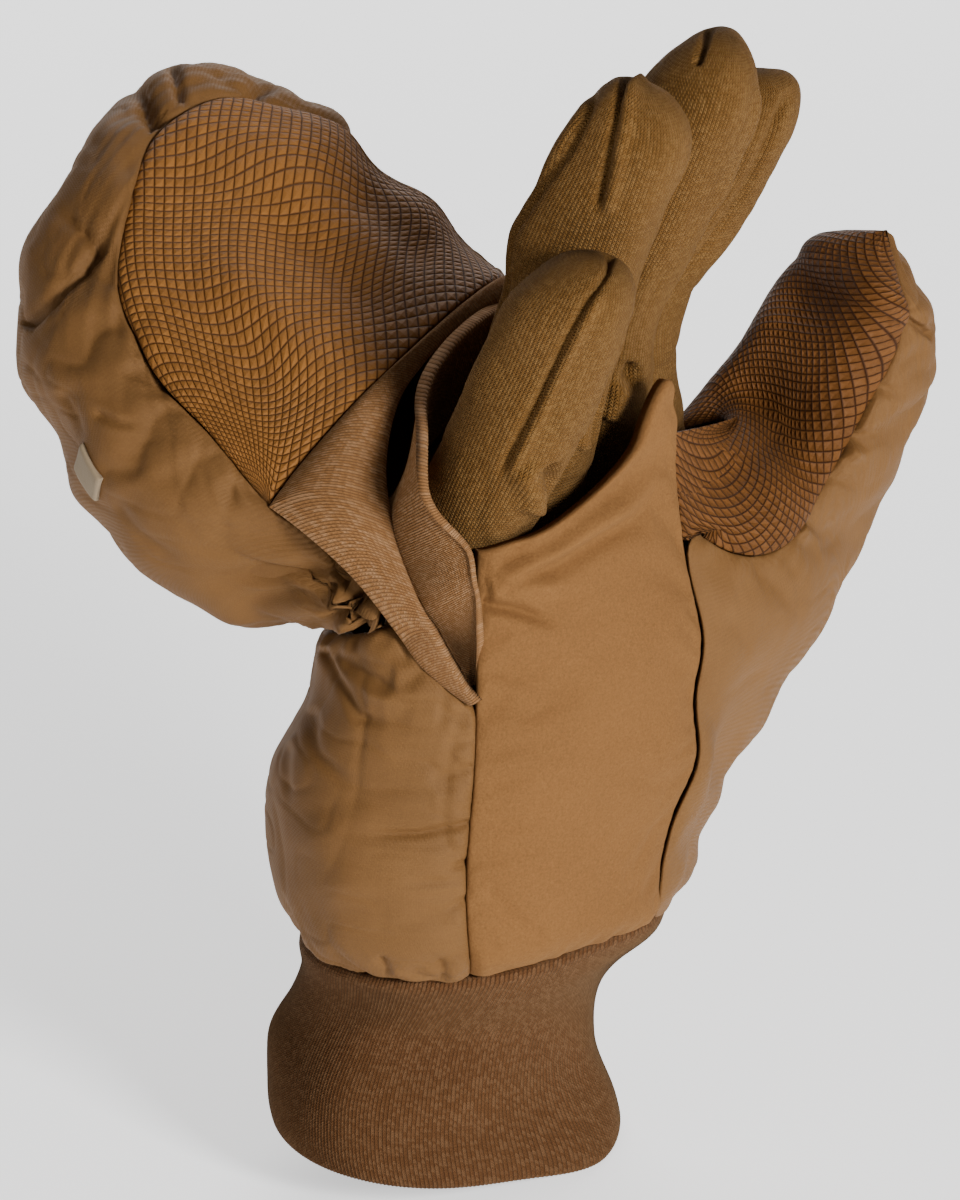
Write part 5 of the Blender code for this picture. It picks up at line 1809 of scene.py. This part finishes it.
HOOD_LINES = [
    (-1.9, 5.0, (0.01, 0.05), [(165, 58), (177, 78), (185, 108)]),
    (-1.9, 5.5, (0.01, 0.05), [(28, 332), (60, 290), (106, 247)]),
    (-2.0, 8.0, (0.4, 0.05), [(132, 82), (146, 104), (162, 130)]),
    (-1.6, 6.0, (0.3, 0.05), [(48, 212), (80, 228), (112, 252)]),
    (-1.8, 7.0, (0.4, 0.05), [(285, 78), (262, 92), (247, 101)]),
    (-1.8, 7.0, (0.4, 0.05), [(335, 150), (324, 132), (311, 119)]),
    (-0.9, 5.0, (0.1, 0.5), [(98, 418), (125, 428), (150, 430)]),
    (-1.0, 9.0, (0.2, 0.4), [(136, 366), (165, 388), (184, 402)]),
    (-1.0, 8.0, (0.2, 0.4), [(60, 395), (75, 430), (80, 455)]),
    (-1.1, 9.0, (0.2, 0.4), [(110, 500), (150, 540), (200, 566)]),
    (-2.4, 12.0, (0.5, 0.05), [(190, 580), (262, 583), (352, 570)]),
    (-1.3, 6.0, (0.3, 0.1), [(215, 604), (262, 606), (330, 590)]),
    (-2.0, 5.0, (0.2, 0.2), [(366, 572), (345, 580), (325, 593)]),
    (-2.2, 5.0, (0.1, 0.3), [(372, 584), (345, 605), (322, 628)]),
    (-2.2, 4.5, (0.1, 0.2), [(388, 602), (370, 614), (362, 632)]),
    (1.6, 6.0, (0.2, 0.3), [(372, 577), (345, 592), (322, 610)]),
    (1.6, 6.0, (0.2, 0.3), [(380, 592), (358, 610), (340, 632)]),
    (-0.8, 4.0, (0.3, 0.2), [(230, 626), (280, 634), (330, 640)]),
]
HOOD_BAND_LINES = [
    (1.2, 9.0, (0.2, 0.4), [(298, 470), (318, 500), (334, 540)]),
    (-1.0, 9.0, (0.2, 0.4), [(320, 455), (345, 500), (362, 545)]),
]
OPENING_BAND_LINES = [
    (1.2, 12.0, (0.2, 0.3), [(440, 480), (450, 540), (470, 600)]),
]
FINGER_LINES = [
    [
        (-1.4, 3.6, (0.01, 0.1), [
            (604, 241), (596, 253), (608, 268), (604, 283), (581, 318),
            (567, 344), (550, 379), (535, 410), (516, 448), (497, 486),
        ]),
        (0.8, 6.0, (0.05, 0.1), [(600, 300), (578, 340), (560, 376), (545, 410), (526, 448), (507, 486)]),
        (-2.2, 9.0, (0.1, 0.3), [(545, 470), (556, 492), (552, 515)]),
        (1.8, 13.0, (0.2, 0.2), [(520, 470), (535, 500), (530, 520)]),
    ],
    [
        (-1.4, 3.4, (0.02, 0.1), [(657, 90), (629, 109), (619, 126), (608, 153), (602, 180), (594, 226)]),
        (0.9, 6.0, (0.05, 0.1), [(650, 100), (636, 115), (628, 135), (618, 165), (610, 200), (604, 230)]),
        (-1.1, 3.4, (0.1, 0.1), [
            (604, 107), (573, 153), (546, 199), (523, 245), (502, 299), (485, 356), (474, 383),
        ]),
        (0.7, 5.0, (0.1, 0.1), [(598, 104), (566, 150), (539, 196), (516, 242), (495, 296), (478, 353)]),
        (-2.2, 9.0, (0.2, 0.3), [(610, 400), (596, 430), (590, 455)]),
        (2.0, 13.0, (0.2, 0.2), [(588, 400), (580, 430), (575, 455)]),
    ],
    [
        (-1.4, 3.4, (0.02, 0.1), [(688, 88), (696, 61), (711, 44), (734, 40), (749, 50), (761, 73)]),
        (0.9, 5.0, (0.1, 0.2), [(761, 73), (761, 100), (749, 134), (738, 165), (719, 199), (703, 230)]),
        (-0.9, 4.0, (0.1, 0.2), [(768, 76), (768, 102), (756, 136), (745, 167), (726, 201), (710, 232)]),
        (2.4, 13.0, (0.2, 0.2), [(622, 385), (615, 405), (604, 425)]),
        (-2.4, 8.0, (0.2, 0.3), [(640, 370), (628, 392)]),
    ],
    [
        (-1.0, 5.0, (0.1, 0.2), [(780, 100), (765, 150), (735, 215), (705, 270), (690, 300)]),
        (2.2, 14.0, (0.2, 0.2), [(660, 330), (655, 350), (648, 366)]),
        (-1.8, 8.0, (0.2, 0.2), [(672, 300), (655, 315), (640, 330)]),
    ],
]

make_cuff()
make_palm()
make_back()
make_thumb_grip()
make_thumb()
make_hood_grip()
HOOD_SKIN = make_hood()
make_band("hood_rib_band", hood_band, -RIB_WALL, HOOD_BAND_LINES, hood_band_lining)
make_band("opening_rib_band", opening_band, RIB_WALL, OPENING_BAND_LINES)
make_tab(HOOD_SKIN)
make_glove()


# Stage, light and camera

# Half the floor's side, the floor's glow, and the strength of the pale surroundings
FLOOR_HALF = 8.0
FLOOR_GLOW = 0.85
WORLD_STRENGTH = 0.13
WHITE = (1.0, 1.0, 1.0, 1.0)
# Where the camera looks, its distance and its lens in mm
VIEW_TARGET = np.array((0.035, 0.015, 0.0925))
VIEW_DISTANCE = 3.0
VIEW_LENS = 461.5
# Lights: name, direction right, up and back in the view, distance, side, watts, where they aim
LIGHTS = (
    ("key", (0.50, 0.02, 0.86), 1.4, 0.32, 28.0, VIEW_TARGET),
    ("fill", (-0.7, 0.3, 0.9), 1.8, 1.0, 1.6, VIEW_TARGET),
    ("backdrop", (0.0, 0.75, -0.75), 1.6, 1.4, 26.0, np.array((0.75, 0.55, -0.1))),
)


def floor_material():
    """The floor's plain pale surface, with faint unevenness and a slight glow."""
    material, graph, shader = surface_of(
        "pale_floor", roughness=0.9, sheen=0.0, sheen_tint=(1.0, 1.0, 1.0), specular=0.2
    )
    dye = dyed(graph, (0.90, 0.90, 0.90), broad=0.01, fine=0.0, size=3.0)
    graph.put(shader.inputs["Base Color"], dye["Colour"])
    shader.inputs["Emission Color"].default_value = WHITE
    shader.inputs["Emission Strength"].default_value = FLOOR_GLOW
    return material


def make_stage():
    """A pale floor under the cuff."""
    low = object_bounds()[0][2]
    data = bpy.data.meshes.new("floor")
    corners = [(x * FLOOR_HALF, y * FLOOR_HALF, low) for x, y in ((-1, -1), (1, -1), (1, 1), (-1, 1))]
    data.from_pydata(corners, [], [(0, 1, 2, 3)])
    data.materials.append(floor_material())
    floor = bpy.data.objects.new("floor", data)
    bpy.context.scene.collection.objects.link(floor)


def look(thing, place, aim):
    """Puts a light or a camera at a place, turned to its aim."""
    thing.location = place
    thing.rotation_euler = mathutils.Vector(aim - place).to_track_quat("-Z", "Y").to_euler()
    bpy.context.scene.collection.objects.link(thing)


def add_light(name, way, distance, size, power, aim):
    """A square light round the mitten: way is right, up and back in the view."""
    way = way[0] * VIEW_RIGHT + way[1] * VIEW_UP + way[2] * VIEW_BACK
    way /= np.linalg.norm(way)
    data = bpy.data.lights.new(name, "AREA")
    data.shape = "SQUARE"
    data.size = size
    data.energy = power
    look(bpy.data.objects.new(name, data), VIEW_TARGET + way * distance, aim)


def make_view():
    """The camera at the drawing's view, the lights and the pale surroundings."""
    data = bpy.data.cameras.new("camera")
    data.sensor_fit = "VERTICAL"
    data.sensor_height = 36.0
    data.lens = VIEW_LENS
    data.clip_end = 50.0
    camera = bpy.data.objects.new("camera", data)
    look(camera, VIEW_TARGET + VIEW_BACK * VIEW_DISTANCE, VIEW_TARGET)
    scene = bpy.context.scene
    scene.camera = camera
    for light in LIGHTS:
        add_light(*light)
    world = bpy.data.worlds.new("pale")
    world.use_nodes = True
    background = world.node_tree.nodes["Background"]
    background.inputs["Color"].default_value = WHITE
    background.inputs["Strength"].default_value = WORLD_STRENGTH
    scene.world = world


make_stage()
make_view()
